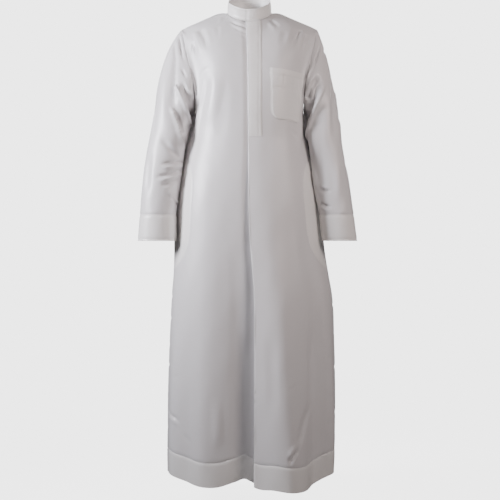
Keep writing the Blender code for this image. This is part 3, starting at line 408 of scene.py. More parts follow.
# Creases of the sleeves, in the same way. Across is x, away from the body, or y in the outer view.
SLEEVE_CREASES = (
    ("side", *CREASE_COLUMNS),
    ("right", "front", 0.217, -0.076, 0.201, -0.165, 0.002, 0.0060, -0.0049, 0.0, 0.15, 0.40),
    ("right", "front", 0.232, -0.095, 0.224, -0.170, 0.002, 0.0080, -0.0035, 0.0, 0.20, 0.50),
    ("right", "front", 0.224, -0.130, 0.226, -0.310, 0.003, 0.0120, -0.0074, 0.4, 0.25, 0.30),
    ("right", "front", 0.255, -0.150, 0.264, -0.345, 0.004, 0.0280, 0.0036, 0.0, 0.40, 0.40),
    ("right", "front", 0.239, -0.298, 0.202, -0.440, -0.004, 0.0080, 0.0068, 0.3, 0.15, 0.20),
    ("right", "front", 0.227, -0.315, 0.193, -0.430, -0.003, 0.0110, -0.0081, 0.0, 0.25, 0.20),
    ("right", "front", 0.228, -0.230, 0.180, -0.370, -0.008, 0.0080, 0.0070, 0.3, 0.15, 0.10),
    ("right", "front", 0.208, -0.225, 0.174, -0.340, -0.004, 0.0130, -0.0108, 0.0, 0.25, 0.15),
    ("right", "front", 0.200, -0.200, 0.170, -0.285, -0.002, 0.0065, 0.0046, 0.0, 0.20, 0.10),
    ("right", "front", 0.207, -0.186, 0.177, -0.262, -0.002, 0.0065, -0.0046, 0.0, 0.20, 0.15),
    ("right", "front", 0.270, -0.395, 0.212, -0.456, 0.005, 0.0110, -0.0062, 0.0, 0.40, 0.10),
    ("right", "front", 0.270, -0.476, 0.206, -0.466, 0.004, 0.0080, -0.0062, 0.2, 0.35, 0.08),
    ("right", "front", 0.272, -0.488, 0.208, -0.480, 0.004, 0.0075, 0.0035, 0.0, 0.35, 0.10),
    ("right", "front", 0.289, -0.516, 0.208, -0.492, 0.007, 0.0090, -0.0068, 0.2, 0.35, 0.08),
    ("right", "front", 0.286, -0.528, 0.210, -0.506, 0.006, 0.0080, 0.0035, 0.0, 0.35, 0.10),
    ("right", "front", 0.274, -0.543, 0.218, -0.526, 0.004, 0.0080, -0.0051, 0.0, 0.35, 0.10),
    ("right", "front", 0.249, -0.558, 0.219, -0.598, 0.001, 0.0070, 0.0043, 0.0, 0.30, 0.15),
    ("right", "front", 0.240, -0.572, 0.217, -0.606, 0.001, 0.0070, -0.0038, 0.0, 0.30, 0.15),
    ("right", "front", 0.301, -0.430, 0.312, -0.580, 0.004, 0.0200, -0.0046, 0.0, 0.40, 0.40),
    ("right", "front", 0.280, -0.250, 0.296, -0.400, 0.004, 0.0200, -0.0041, 0.0, 0.40, 0.40),
    ("left", "front", 0.216, -0.110, 0.198, -0.168, 0.002, 0.0060, -0.0049, 0.0, 0.20, 0.30),
    ("left", "front", 0.232, -0.090, 0.234, -0.170, 0.002, 0.0110, -0.0035, 0.0, 0.25, 0.50),
    ("left", "front", 0.199, -0.165, 0.173, -0.225, -0.002, 0.0065, 0.0041, 0.0, 0.20, 0.10),
    ("left", "front", 0.214, -0.208, 0.173, -0.280, -0.006, 0.0120, -0.0115, 0.3, 0.25, 0.06),
    ("left", "front", 0.222, -0.212, 0.176, -0.440, -0.018, 0.0160, -0.0142, -0.2, 0.20, 0.20),
    ("left", "front", 0.238, -0.222, 0.180, -0.458, -0.018, 0.0095, 0.0081, 0.0, 0.25, 0.08),
    ("left", "front", 0.252, -0.180, 0.258, -0.450, 0.003, 0.0180, -0.0049, 0.0, 0.35, 0.45),
    ("left", "front", 0.271, -0.190, 0.278, -0.430, 0.003, 0.0240, 0.0046, 0.0, 0.40, 0.40),
    ("left", "front", 0.205, -0.490, 0.213, -0.555, 0.001, 0.0110, 0.0046, 0.0, 0.30, 0.30),
    ("left", "front", 0.220, -0.545, 0.248, -0.553, -0.001, 0.0065, 0.0032, 0.0, 0.10, 0.50),
    ("left", "front", 0.219, -0.556, 0.250, -0.565, -0.001, 0.0065, -0.0051, 0.2, 0.10, 0.50),
    ("left", "front", 0.219, -0.597, 0.252, -0.613, -0.001, 0.0070, -0.0059, 0.2, 0.10, 0.50),
    ("left", "front", 0.220, -0.609, 0.249, -0.623, -0.001, 0.0070, 0.0032, 0.0, 0.10, 0.50),
    ("left", "front", 0.286, -0.300, 0.300, -0.540, 0.005, 0.0220, -0.0046, 0.0, 0.40, 0.40),
    ("left", "front", 0.183, -0.330, 0.219, -0.650, 0.003, 0.0340, 0.0120, 0.0, 0.25, 0.35),
    ("right", "front", 0.193, -0.330, 0.223, -0.640, 0.003, 0.0300, 0.0035, 0.0, 0.30, 0.40),
    ("left", "front", 0.262, -0.470, 0.270, -0.600, 0.003, 0.0180, 0.0035, 0.0, 0.40, 0.40),
    ("right", "back", 0.206, -0.150, 0.238, -0.300, 0.004, 0.0140, -0.0068, 0.0, 0.20, 0.50),
    ("right", "back", 0.194, -0.215, 0.226, -0.372, 0.004, 0.0120, -0.0081, 0.2, 0.10, 0.50),
    ("right", "back", 0.212, -0.195, 0.246, -0.345, 0.004, 0.0110, 0.0046, 0.0, 0.20, 0.50),
    ("right", "back", 0.288, -0.400, 0.226, -0.470, 0.005, 0.0120, -0.0062, 0.0, 0.40, 0.30),
    ("right", "back", 0.300, -0.452, 0.236, -0.510, 0.005, 0.0100, -0.0046, 0.0, 0.40, 0.30),
    ("right", "back", 0.292, -0.430, 0.230, -0.490, 0.005, 0.0090, 0.0030, 0.0, 0.40, 0.30),
    ("right", "back", 0.252, -0.560, 0.312, -0.596, 0.003, 0.0100, -0.0030, 0.0, 0.40, 0.40),
    ("left", "back", 0.204, -0.160, 0.232, -0.290, 0.004, 0.0130, -0.0062, 0.0, 0.20, 0.50),
    ("left", "back", 0.190, -0.230, 0.212, -0.380, 0.004, 0.0120, -0.0076, 0.2, 0.10, 0.50),
    ("left", "back", 0.208, -0.210, 0.232, -0.350, 0.004, 0.0110, 0.0041, 0.0, 0.20, 0.50),
    ("left", "back", 0.268, -0.410, 0.212, -0.466, 0.005, 0.0110, -0.0054, 0.0, 0.40, 0.30),
    ("left", "back", 0.282, -0.468, 0.222, -0.520, 0.005, 0.0100, -0.0046, 0.0, 0.40, 0.30),
    ("left", "back", 0.274, -0.440, 0.218, -0.494, 0.005, 0.0090, 0.0027, 0.0, 0.40, 0.30),
    ("right", "outer", -0.040, -0.200, -0.010, -0.420, 0.006, 0.0200, -0.0041, 0.0, 0.40, 0.40),
    ("left", "outer", -0.044, -0.210, -0.006, -0.440, 0.006, 0.0200, -0.0046, 0.0, 0.40, 0.40),
    ("right", "outer", 0.020, -0.300, -0.014, -0.560, 0.006, 0.0180, 0.0035, 0.0, 0.40, 0.40),
    ("left", "outer", 0.024, -0.280, -0.012, -0.520, 0.006, 0.0180, 0.0035, 0.0, 0.40, 0.40),
)

# Folds of the chest pocket, by shares across it and up it
POCKET_CREASES = (
    CREASE_COLUMNS,
    ("front", 0.128, -0.214, 0.146, -0.312, 0.002, 0.0060, -0.0016, 0.3, 0.30, 0.30),
    ("front", 0.137, -0.208, 0.152, -0.300, 0.001, 0.0070, 0.0010, 0.0, 0.30, 0.30),
    ("front", 0.102, -0.206, 0.103, -0.250, 0.001, 0.0050, -0.0007, 0.0, 0.20, 0.50),
    ("front", 0.066, -0.253, 0.118, -0.256, 0.002, 0.0050, -0.0006, 0.0, 0.20, 0.40),
)

# Rounding of the body below its top edge: the level where it starts, its rows and its rounds
SETTLE_FROM = 0.9
SETTLE_ROWS = 110
SETTLE_ROUNDS = 160

# How finely the shells are cut
SKIRT_ROWS = 146
UPPER_ROWS = 100
NECK_COLUMNS = 20
SHOULDER_COLUMNS = 24
ARMHOLE_COLUMNS = 46
CAP_ROWS = 62
SLEEVE_ROWS = 60

# Seams and stitches
SEAM_DIP = 0.0013
SEAM_REACH = 0.0030
HEM_RISE = 0.0004
DEGREE = 0.0038
CUFF_RISE = 0.0006
CUFF_RADIUS = 0.055
CAP_LENGTH = 0.26
SKIRT_RADIUS = 0.23
BAND_LOW_STITCH = 0.0045
BAND_TOP_STITCH = 0.0035
PLACKET_STITCH = 0.009
PLACKET_EDGE_STITCH = 0.0018
PLACKET_END_STITCH = 0.0030
POCKET_STITCH = 0.0022
SHOULDER_STITCH = 0.0032
ARMHOLE_STITCH = 0.0050
POCKET_HEM = 0.020

# A stitch's rings along it, each with its place, width and height as shares of the stitch's own
STITCH_RINGS = ((-0.5, 0.5, 0.1), (-0.28, 1.0, 0.8), (0.28, 1.0, 0.8), (0.5, 0.5, 0.1))
STITCH_RISE = 0.00032
STITCH_SINK = 0.00012

# The button under the collar's end: its place from the end and the lower edge, and its print
BUTTON_PLACE = (0.0270, 0.0190)
BUTTON_RADIUS = 0.0055
BUTTON_RISE = 0.0005

# Camera: its place, its sensor and lens in millimetres, and its shift across and up
CAMERA_PLACE = (0.0, -3.0, -0.725)
CAMERA_SENSOR = 36.0
CAMERA_LENS = 69.12
CAMERA_SHIFT = (0.0012, -0.01)

# Floor, backdrop and lights
FLOOR_HEIGHT = -1.530
FLOOR_RADIUS = 1.7
FLOOR_GLOW = 3.5
AMBIENT_COLOUR = (1.0, 0.98, 0.98, 1.0)
AMBIENT_STRENGTH = 0.08
BACKDROP_COLOUR = (1.0, 1.0, 1.0, 1.0)
BACKDROP_STRENGTH = 3.8
LIGHTS = (
    ("name", "place", "aim", "size", "spread", "energy", "colour"),
    ("key_light", (-2.00, -0.80, 0.10), (-0.05, -0.1, -0.24), 0.6, 90.0, 30.0, (0.94, 0.93, 1.0)),
    ("fill_light", (1.7, -1.7, 0.4), (0.05, 0.0, -0.30), 1.0, 110.0, 14.5, (1.0, 0.87, 0.84)),
    ("front_light", (0.3, -2.9, 0.5), (0.0, 0.0, -0.30), 1.2, 120.0, 3.0, (1.0, 0.96, 0.95)),
    ("back_light", (0.8, 2.4, 0.6), (0.0, 0.0, -0.60), 1.8, 180.0, 34.0, (1.0, 0.98, 0.97)),
)


class Robe:
    """What the pieces share: the placed creases, the settled body and the finished pieces by name."""

    creases = []
    settled = None
    pieces = {}
    materials = {}


def column(table, name):
    """One named column of a table, without its heading row."""
    place = table[0].index(name)
    return np.array([row[place] for row in table[1:]])


def named_rows(table):
    """The rows of a table, each as its values by name."""
    return [dict(zip(table[0], row)) for row in table[1:]]


def smooth_line(places, values, at):
    """The value at a place on a smooth curve through the given ones."""
    places, values = np.asarray(places, float), np.asarray(values, float)
    slopes = np.gradient(values, places)
    at = np.clip(at, places[0], places[-1])
    low = np.clip(np.searchsorted(places, at, side="right") - 1, 0, len(places) - 2)
    step = places[low + 1] - places[low]
    return hermite(
        values[low], slopes[low] * step, values[low + 1], slopes[low + 1] * step, (at - places[low]) / step
    )


def read_off(table, key, name, at):
    """A table's value at a place between its rows."""
    places, values = column(table, key), column(table, name)
    order = np.argsort(places)
    return smooth_line(places[order], values[order], at)


def hermite(start, leave, end, arrive, share):
    """A cubic curve from start to end with the given velocities at its ends."""
    square = share * share
    cube = square * share
    return (
        (2 * cube - 3 * square + 1) * start
        + (cube - 2 * square + share) * leave
        + (3 * square - 2 * cube) * end
        + (cube - square) * arrive
    )


def ease(share):
    """0 to 1, slow at both ends."""
    share = np.clip(share, 0.0, 1.0)
    return share * share * (3 - 2 * share)


def hump(distance):
    """1 at no distance, falling smoothly to 0 at a distance of 1."""
    return ease(1.0 - np.abs(distance))


def unit(vectors):
    return vectors / np.maximum(np.linalg.norm(vectors, axis=-1, keepdims=True), 1e-12)


def spread(*values):
    return np.broadcast_arrays(*[np.asarray(value, float) for value in values])


def from_front(angle):
    """An angle as -180 to 180 degrees from the front's middle."""
    return (angle + 180.0) % 360.0 - 180.0


def neckline(turn):
    """The seam of the collar, by the turn in degrees from the front's middle."""
    turn = np.radians(turn)
    x = NECK_HALF_WIDTH * np.sin(turn)
    reach = np.where(np.cos(turn) > 0, NECK_FRONT, NECK_BACK)
    y = -reach * np.cos(turn)
    return np.stack([x, y, NECK_RISE * y + NECK_BOW * y * y], axis=-1)


def shoulder_seam(share):
    """The shoulder seam from the neckline to the tip of the shoulder."""
    points = np.array([neckline(SEAM_TURN), *SHOULDER_SEAM[1:], SHOULDER_TIP])
    gone = np.r_[0.0, np.cumsum(np.linalg.norm(np.diff(points, axis=0), axis=1))]
    at = np.clip(share, 0.0, 1.0) * gone[-1]
    return np.stack([smooth_line(gone, points[:, axis], at) for axis in range(3)], axis=-1)


def armhole(table, key, at):
    """A point of the armhole, by the body's angle off the middle or by the sleeve's turn."""
    ends = {"off": (TIP_CORNER, 90.0), "turn": (0.0, 180.0)}[key]
    places = np.r_[ends[0], column(table, key), ends[1]]
    lines = []
    for name, start, end in zip("xyz", SHOULDER_TIP, UNDERARM):
        values = np.r_[start, column(table, name), end]
        lines.append(smooth_line(places, values, at))
    return np.stack(lines, axis=-1)


def body_ring(angle, height):
    """A point on the body's outline at a height."""
    turn = np.radians(angle)
    power = 2.0 / SQUARENESS
    across, ahead = np.sin(turn), np.cos(turn)
    half = read_off(BODY, "height", "half_width", height)
    shift = read_off(BODY, "height", "shift", height)
    reach = np.where(
        ahead > 0, read_off(BODY, "height", "front", height), read_off(BODY, "height", "back", height)
    )
    x = shift + half * np.sign(across) * np.abs(across) ** power
    y = -reach * np.sign(ahead) * np.abs(ahead) ** power
    return np.stack([x, y, height + 0.0 * x], axis=-1)


def top_edge(angle):
    """Where a column of the body ends, and the way that the cloth runs there."""
    wrapped = from_front(angle)
    side = np.where(wrapped < 0, -1.0, 1.0)
    is_front = np.abs(wrapped) <= 90.0
    off = np.where(is_front, np.abs(wrapped), 180.0 - np.abs(wrapped))
    share = off / NECK_CORNER
    turn = np.where(is_front, SEAM_TURN * share, 180.0 - (180.0 - SEAM_TURN) * share)
    on_arm = np.where(
        is_front[..., None], armhole(ARMHOLE_FRONT, "off", off), armhole(ARMHOLE_BACK, "off", off)
    )
    on_shoulder = shoulder_seam((off - NECK_CORNER) / (TIP_CORNER - NECK_CORNER))
    point = np.where((off <= NECK_CORNER)[..., None], neckline(turn), on_shoulder)
    point = np.where((off > TIP_CORNER)[..., None], on_arm, point)
    run = np.stack(
        [
            np.where(is_front, read_off(FRONT_RUN, "off", name, off), read_off(BACK_RUN, "off", name, off))
            for name in "xyz"
        ],
        axis=-1,
    )
    mirror = np.stack([side, np.ones_like(side), np.ones_like(side)], axis=-1)
    return point * mirror, run * mirror


def smooth_body(angle, level):
    """A point on the body before its folds."""
    angle, level = spread(angle, level)
    low = np.clip(level, 0.0, 1.0)
    high = np.clip(level - 1.0, 0.0, 1.0)[..., None]
    wrapped = from_front(angle)
    lower = body_ring(angle, HEM_HEIGHT + low * SKIRT_LENGTH)
    lower[..., 2] -= read_off(HEM_LINE, "angle", "drop", wrapped) * ease(1.0 - 1.5 * low)
    chest = body_ring(angle, CHEST_HEIGHT + 0.0 * angle)
    below = body_ring(angle, CHEST_HEIGHT - 0.001 + 0.0 * angle)
    end, run = top_edge(angle)
    reach = np.linalg.norm(end - chest, axis=-1, keepdims=True)
    upper = hermite(chest, (chest - below) / 0.001 * reach, end, run * reach, high)
    return np.where((level <= 1.0)[..., None], lower, upper)


def body_normal(angle, level):
    """The way out of the smooth body."""
    angle, level = spread(angle, level)
    top = np.minimum(level + 0.002, 2.0)
    low = np.maximum(level - 0.002, 0.0)
    across = smooth_body(angle + 0.3, level) - smooth_body(angle - 0.3, level)
    return unit(np.cross(across, smooth_body(angle, top) - smooth_body(angle, low)))


def fold_height(angle, level):
    """How far the largest folds stand out of the smooth body."""
    total = 0.0
    for fold in named_rows(FOLDS):
        grown = ease((fold["start"] - level) / (fold["start"] - fold["full"]))
        middle = fold["angle_hem"] + (fold["angle_top"] - fold["angle_hem"]) * np.clip(level, 0.0, 1.0)
        away = from_front(angle - middle)
        total = total + fold["height"] * grown * hump(away / fold["half_angle"])
    return total


def pleat_angle(name, level):
    return read_off(PLEAT, "level", name, level)


def under_depth(level):
    """How far the cloth under the pleat lies behind the cloth on top."""
    return 2 * PLEAT_RADIUS + LAYER_GAP + VALLEY_HEM * ease((VALLEY_START - level) / VALLEY_START)


def valley_depth(angle, level):
    """How far the wearer's right front falls back beside the pleat: a narrow step and a wide valley."""
    away = np.minimum(angle - pleat_angle("edge", level), 0.0)
    step = (2 * PLEAT_RADIUS + LAYER_GAP) * hump(away / STEP_HALF_ANGLE)
    turn_in = VALLEY_TURN_IN * np.maximum(1.0 + away / VALLEY_TURN_ANGLE, 0.0) ** 1.5
    wide = hump(away / VALLEY_HALF_ANGLE) + turn_in
    return step + wide * VALLEY_HEM * ease((VALLEY_START - level) / VALLEY_START)


def settle_body():
    """Offsets that round the body where its columns turn from the neck's corner to the shoulder seam."""
    angles = np.arange(-180.0, 181.0)
    levels = np.linspace(SETTLE_FROM, 2.0, SETTLE_ROWS + 1)
    points = smooth_body(angles[:, None], levels[None])
    free = ease((2.0 - levels) / 0.5) * ease((levels - SETTLE_FROM) / 0.15)
    settled = points[:-1].copy()
    for _ in range(SETTLE_ROUNDS):
        middle = 0.5 * (np.roll(settled, 1, 0) + np.roll(settled, -1, 0))
        settled += 0.5 * free[None, :, None] * (middle - settled)
    return np.concatenate([settled, settled[:1]]) - points


def settled(angle, level):
    """The offset of a place, read between the rows and columns of the settled grid."""
    column_at = np.clip((angle + 180.0) % 360.0, 0.0, 359.999)
    row_at = np.clip((level - SETTLE_FROM) / (2.0 - SETTLE_FROM), 0.0, 0.99999) * SETTLE_ROWS
    left, low = column_at.astype(int), row_at.astype(int)
    across, up = (column_at - left)[..., None], (row_at - low)[..., None]
    grid = Robe.settled
    lower = grid[left, low] * (1 - across) + grid[left + 1, low] * across
    upper = grid[left, low + 1] * (1 - across) + grid[left + 1, low + 1] * across
    return lower * (1 - up) + upper * up


def body(angle, level, is_under=False):
    """A point on the body with its folds. The wearer's right front falls back beside the pleat, under it."""
    angle, level = spread(angle, level)
    rise = fold_height(angle, level) - valley_depth(angle, level) * is_under
    return smooth_body(angle, level) + settled(angle, level) + body_normal(angle, level) * rise[..., None]


def arm_offs():
    return np.linspace(TIP_CORNER, 90.0, ARMHOLE_COLUMNS + 1)


def arm_turns():
    """The columns of a sleeve: they start from the armhole where the columns of the body end."""
    offs = np.r_[TIP_CORNER, column(ARMHOLE_FRONT, "off"), 90.0]
    turns = np.r_[0.0, column(ARMHOLE_FRONT, "turn"), 180.0]
    front = smooth_line(offs, turns, arm_offs())
    return np.r_[front, 360.0 - front[-2:0:-1]]


def sleeve_ring(table, turn, height):
    """A point of a sleeve's section at a height."""
    inner = read_off(table, "height", "inner", height)
    outer = read_off(table, "height", "outer", height)
    middle_y = read_off(table, "height", "y", height)
    depth = read_off(table, "height", "half_depth", height)
    angle = np.radians(turn)
    x = 0.5 * (inner + outer) + 0.5 * (outer - inner) * np.cos(angle)
    return np.stack([x, middle_y - depth * np.sin(angle), height + 0.0 * x], axis=-1)


def sleeve_table(side):
    return SLEEVE_LEFT if side == "left" else SLEEVE_RIGHT


def smooth_sleeve(side, turn, share):
    """A point on a sleeve, at x > 0: share 0 is the armhole, 1 the armpit's level and 2 the cuff's seam."""
    turn, share = spread(turn, share)
    turn = turn % 360.0
    table = sleeve_table(side)
    is_front = turn <= 180.0
    near = np.where(is_front, turn, 360.0 - turn)
    start = np.where(
        is_front[..., None], armhole(ARMHOLE_FRONT, "turn", near), armhole(ARMHOLE_BACK, "turn", near)
    )
    end = sleeve_ring(table, turn, SLEEVE_START + 0.0 * turn)
    below = sleeve_ring(table, turn, SLEEVE_START - 0.001 + 0.0 * turn)
    reach = np.linalg.norm(end - start, axis=-1, keepdims=True)
    leave = np.stack(
        [
            read_off(SLEEVE_LEAVE, "turn", side + "_out", near),
            np.where(is_front, -1.0, 1.0) * read_off(SLEEVE_LEAVE, "turn", "ahead", near),
            read_off(SLEEVE_LEAVE, "turn", "up", near),
        ],
        axis=-1,
    )
    cap = hermite(start, leave * reach, end, (below - end) / 0.001 * reach, np.clip(share, 0, 1)[..., None])
    height = SLEEVE_START + np.clip(share - 1.0, 0.0, 1.0) * (CUFF_TOP - SLEEVE_START)
    return np.where((share <= 1.0)[..., None], cap, sleeve_ring(table, turn, height))


def sleeve_folds(side, turn, share):
    total = 0.0 * share
    for fold in named_rows(SLEEVE_FOLDS):
        if fold["side"] != side:
            continue
        gone = np.clip((share - fold["from_share"]) / (fold["to_share"] - fold["from_share"]), 0.0, 1.0)
        middle = fold["from_turn"] + (fold["to_turn"] - fold["from_turn"]) * gone
        total = total + fold["height"] * hump(2 * gone - 1) * hump((turn - middle) / fold["half_turn"])
    return total


def grid_normals(points, closed=False):
    """The way out at each point of a grid: first axis to the wearer's left, second axis up."""

    def both_ways(axis, wraps):
        ahead = unit(np.roll(points, -1, axis) - points)
        behind = np.roll(ahead, 1, axis)
        if not wraps:
            ahead, behind = np.moveaxis(ahead, axis, 0), np.moveaxis(behind, axis, 0)
            ahead[-1], behind[0] = behind[-1], ahead[0]
            ahead, behind = np.moveaxis(ahead, 0, axis), np.moveaxis(behind, 0, axis)
        return ahead + behind

    return unit(np.cross(both_ways(0, closed), both_ways(1, False)))


def way_out(surface, first, second, steps, low, high):
    """The way out of a surface of two coordinates. The second stays between low and high."""
    first, second = spread(first, second)
    top, bottom = np.minimum(second + steps[1], high), np.maximum(second - steps[1], low)
    across = surface(first + steps[0], second) - surface(first - steps[0], second)
    return unit(np.cross(across, surface(first, top) - surface(first, bottom)))


def find_place(surface, first, second, across, z, axis, low, high):
    """The two coordinates of the points of a surface that lie at z and, along one axis, at across."""
    first, second, across, z = [value.copy() for value in spread(first, second, across, z)]
    step = 1e-3
    for _ in range(18):
        here = surface(first, second)
        by_first = (surface(first + step, second) - here) / step
        by_second = (surface(first, second + step) - here) / step
        off, off_z = across - here[..., axis], z - here[..., 2]
        scale = by_first[..., axis] * by_second[..., 2] - by_first[..., 2] * by_second[..., axis]
        scale = np.where(np.abs(scale) < 1e-9, 1e-9, scale)
        first += 0.8 * np.clip((off * by_second[..., 2] - off_z * by_second[..., axis]) / scale, -8.0, 8.0)
        second += 0.8 * np.clip((off_z * by_first[..., axis] - off * by_first[..., 2]) / scale, -0.1, 0.1)
        second = np.clip(second, low, high)
    return first, second


def seen_line(crease, count=11):
    """Points along a crease as it is seen from one side."""
    share = np.linspace(0.0, 1.0, count)
    start = np.array([crease["across"], crease["z"]])
    run = np.array([crease["to_across"], crease["to_z"]]) - start
    square = np.array([-run[1], run[0]]) / np.linalg.norm(run)
    line = start + share[:, None] * run + np.sin(np.pi * share)[:, None] * square * crease["bow"]
    return line[:, 0], line[:, 1]


def seen_lines(creases):
    """The lines of several creases, one in each row."""
    lines = [seen_line(crease) for crease in creases]
    return np.stack([line[0] for line in lines]), np.stack([line[1] for line in lines])


def body_places(view, across, z, is_under=False):
    """The angle and level of places on the body that are seen from one side."""
    above = 1.0 + (z - CHEST_HEIGHT) / abs(CHEST_HEIGHT)
    level = np.where(z > CHEST_HEIGHT, above, 1.0 + (z - CHEST_HEIGHT) / SKIRT_LENGTH)
    half = read_off(BODY, "height", "half_width" if view in ("front", "back") else "front", z)
    off = np.degrees(np.arcsin(np.clip(across / half, -0.97, 0.97)))
    angle = {"front": off, "back": 180.0 - off, "left": 90.0 + off, "right": -90.0 - off}[view]
    axis = 0 if view in ("front", "back") else 1
    return find_place(lambda a, b: body(a, b, is_under), angle, level, across, z, axis, 0.0, 1.995)


def place_body_creases(table):
    """The body's creases as lines in space."""
    placed = []
    for view in ("front", "back", "left", "right"):
        creases = [crease for crease in named_rows(table) if crease["view"] == view]
        if not creases:
            continue
        across, z = seen_lines(creases)
        is_under = (across[:, :1] < 0) & (view == "front") | (view == "right")
        lines = body(*body_places(view, across, z, is_under), is_under)
        placed += [{**crease, "line": line} for crease, line in zip(creases, lines)]
    return placed


def sleeve_surface(side):
    """A sleeve with its large folds, at x > 0."""
    steps = (0.5, 0.004)

    def surface(turn, share):
        turn, share = spread(turn, share)
        out = way_out(lambda a, b: smooth_sleeve(side, a, b), turn, share, steps, 0.0, 2.0)
        return smooth_sleeve(side, turn, share) + out * sleeve_folds(side, turn % 360.0, share)[..., None]

    return surface


def place_sleeve_creases(side):
    """The creases of one sleeve as lines in space."""
    placed = []
    surface = sleeve_surface(side)
    table = sleeve_table(side)
    for view in ("front", "back", "outer"):
        creases = [row for row in named_rows(SLEEVE_CREASES) if row["side"] == side and row["view"] == view]
        across, z = seen_lines(creases)
        inner, outer = read_off(table, "height", "inner", z), read_off(table, "height", "outer", z)
        turn = np.degrees(np.arccos(np.clip((2 * across - inner - outer) / (outer - inner), -0.95, 0.95)))
        if view == "back":
            turn = 360.0 - turn
        if view == "outer":
            turn = -np.degrees(np.arcsin(np.clip((across + 0.02) / 0.06, -0.9, 0.9)))
        above = (z + 0.13) / (SLEEVE_START + 0.13)
        below = 1.0 + (z - SLEEVE_START) / (CUFF_TOP - SLEEVE_START)
        share = np.clip(np.where(z > SLEEVE_START, above, below), 0.1, 1.95)
        places = find_place(surface, turn, share, across, z, 1 if view == "outer" else 0, 0.02, 1.99)
        placed += [{**crease, "line": line} for crease, line in zip(creases, surface(*places))]
    return placed


def crease_height(points, normals, creases):
    """How far the creases lift the cloth at the given points."""
    lift = np.zeros(points.shape[:-1])
    for crease in creases:
        line = crease["line"]
        widest = crease["half_width"] * (1.0 + abs(crease["lean"]))
        near = np.all((points > line.min(0) - widest) & (points < line.max(0) + widest), axis=-1)
        spot, out = points[near], normals[near]
        if not len(spot):
            continue
        nearest = np.full(len(spot), np.inf)
        sideways, along = np.zeros(len(spot)), np.zeros(len(spot))
        for index in range(len(line) - 1):
            start, run = line[index], line[index + 1] - line[index]
            share = np.clip((spot - start) @ run / (run @ run), 0.0, 1.0)
            off = spot - start - share[:, None] * run
            distance = np.linalg.norm(off, axis=-1)
            closer = distance < nearest
            side = np.sign(np.sum(np.cross(run, off) * out, axis=-1))
            nearest = np.where(closer, distance, nearest)
            sideways = np.where(closer, side, sideways)
            along = np.where(closer, (index + share) / (len(line) - 1), along)
        width = crease["half_width"] * (1.0 + crease["lean"] * sideways)
        away = np.minimum(nearest / width, 1.0)
        shape = (1.0 - away**2) ** 2
        fade = ease(along / crease["fade_in"]) * ease((1.0 - along) / crease["fade_out"])
        lift[near] += crease["height"] * shape * fade
    return lift


def seam_dip(distance):
    """The shallow groove that a seam or a row of stitches pulls into the cloth."""
    return -SEAM_DIP * np.exp(-((distance / SEAM_REACH) ** 2))


def puckers(along, away, reach, size):
    """The small uneven waves that stitches pull into the cloth beside them."""
    waves = (
        np.sin(along / 0.0061 + 1.3)
        + 0.8 * np.sin(along / 0.0093 + 0.4)
        + 0.6 * np.sin(along / 0.0147 + 2.1) * np.sin(along / 0.051)
    )
    return size * waves * np.exp(-((away / reach) ** 2))


def cloth_waves(points):
    """The faint unevenness of pressed cloth that hangs."""
    x, y, z = points[..., 0], points[..., 1], points[..., 2]
    return 0.0005 * (
        np.sin(34.0 * x + 9.0 * z + 0.6) * np.sin(11.0 * z + 14.0 * y + 1.9)
        + 0.7 * np.sin(71.0 * x - 16.0 * z + 2.4) * np.sin(23.0 * z + 31.0 * y)
        + 0.4 * np.sin(127.0 * x + 41.0 * z) * np.sin(53.0 * z - 60.0 * y + 0.7)
    )


def to_edge(angle):
    """How many metres one level measures where a column of the body reaches its top edge."""
    chest = body_ring(angle, CHEST_HEIGHT + 0.0 * angle)
    end, run = top_edge(angle)
    return np.linalg.norm(end - chest, axis=-1) * np.linalg.norm(run, axis=-1)


def body_angle_off(angle):
    """How far a place is from the nearest side seam, in metres, near enough for a groove."""
    wrapped = from_front(angle)
    return np.abs(np.abs(wrapped) - 90.0) * DEGREE


def bag_edge(angle, level):
    """How far a place on a front lies inside the outline of the bag behind it, in metres."""
    middle, half = 0.5 * (BAG_TOP + BAG_LOW), 0.5 * (BAG_TOP - BAG_LOW)

    def start(at):
        off = np.clip(BAG_END * (at - middle) / half, -1.0, 1.0)
        return 90.0 - (90.0 - BAG_ANGLE) * np.sqrt(np.maximum(1.0 - off**4, 1e-6))

    wrapped = np.abs(from_front(angle))
    slope = (start(level + 0.001) - start(level - 0.001)) / 0.002 * DEGREE / SKIRT_LENGTH
    inside = (wrapped - start(level)) * DEGREE / np.sqrt(1.0 + slope**2)
    return np.where(wrapped > 90.0, -1.0, inside)


def doubled_cloth(angle, level):
    """1 where a panel's cloth has another layer behind it, at the hem and the side pockets."""
    angle, level = spread(angle, level)
    below_hem_line = HEM_DEPTH - level * SKIRT_LENGTH
    return np.maximum(ease(0.5 + below_hem_line / 0.002), ease(0.5 + bag_edge(angle, level) / 0.002))


def dressed_body(angle, level, is_under=False):
    """Points on the body with all its creases, and the way out there."""
    angle, level = spread(angle, level)
    points = body(angle, level, is_under)
    out = way_out(lambda a, b: body(a, b, is_under), angle, level, (0.35, 0.003), 0.0, 2.0)
    to_top = (2.0 - level) * to_edge(angle)
    to_hem_line = (level - HEM_LEVEL) * SKIRT_LENGTH
    around = np.radians(angle) * SKIRT_RADIUS
    lift = crease_height(points, out, Robe.creases) * ease(to_top / 0.008)
    lift += cloth_waves(points) * ease(to_top / 0.03)
    lift += seam_dip(to_top) + seam_dip(body_angle_off(angle)) + seam_dip(to_hem_line)
    lift += seam_dip(bag_edge(angle, level) + 0.002)
    lift += puckers(around, to_hem_line - 0.003, 0.010, 0.00028)
    lift += HEM_RISE * ease(1.0 - (to_hem_line + 0.001) / 0.002)
    return points + out * lift[..., None], out


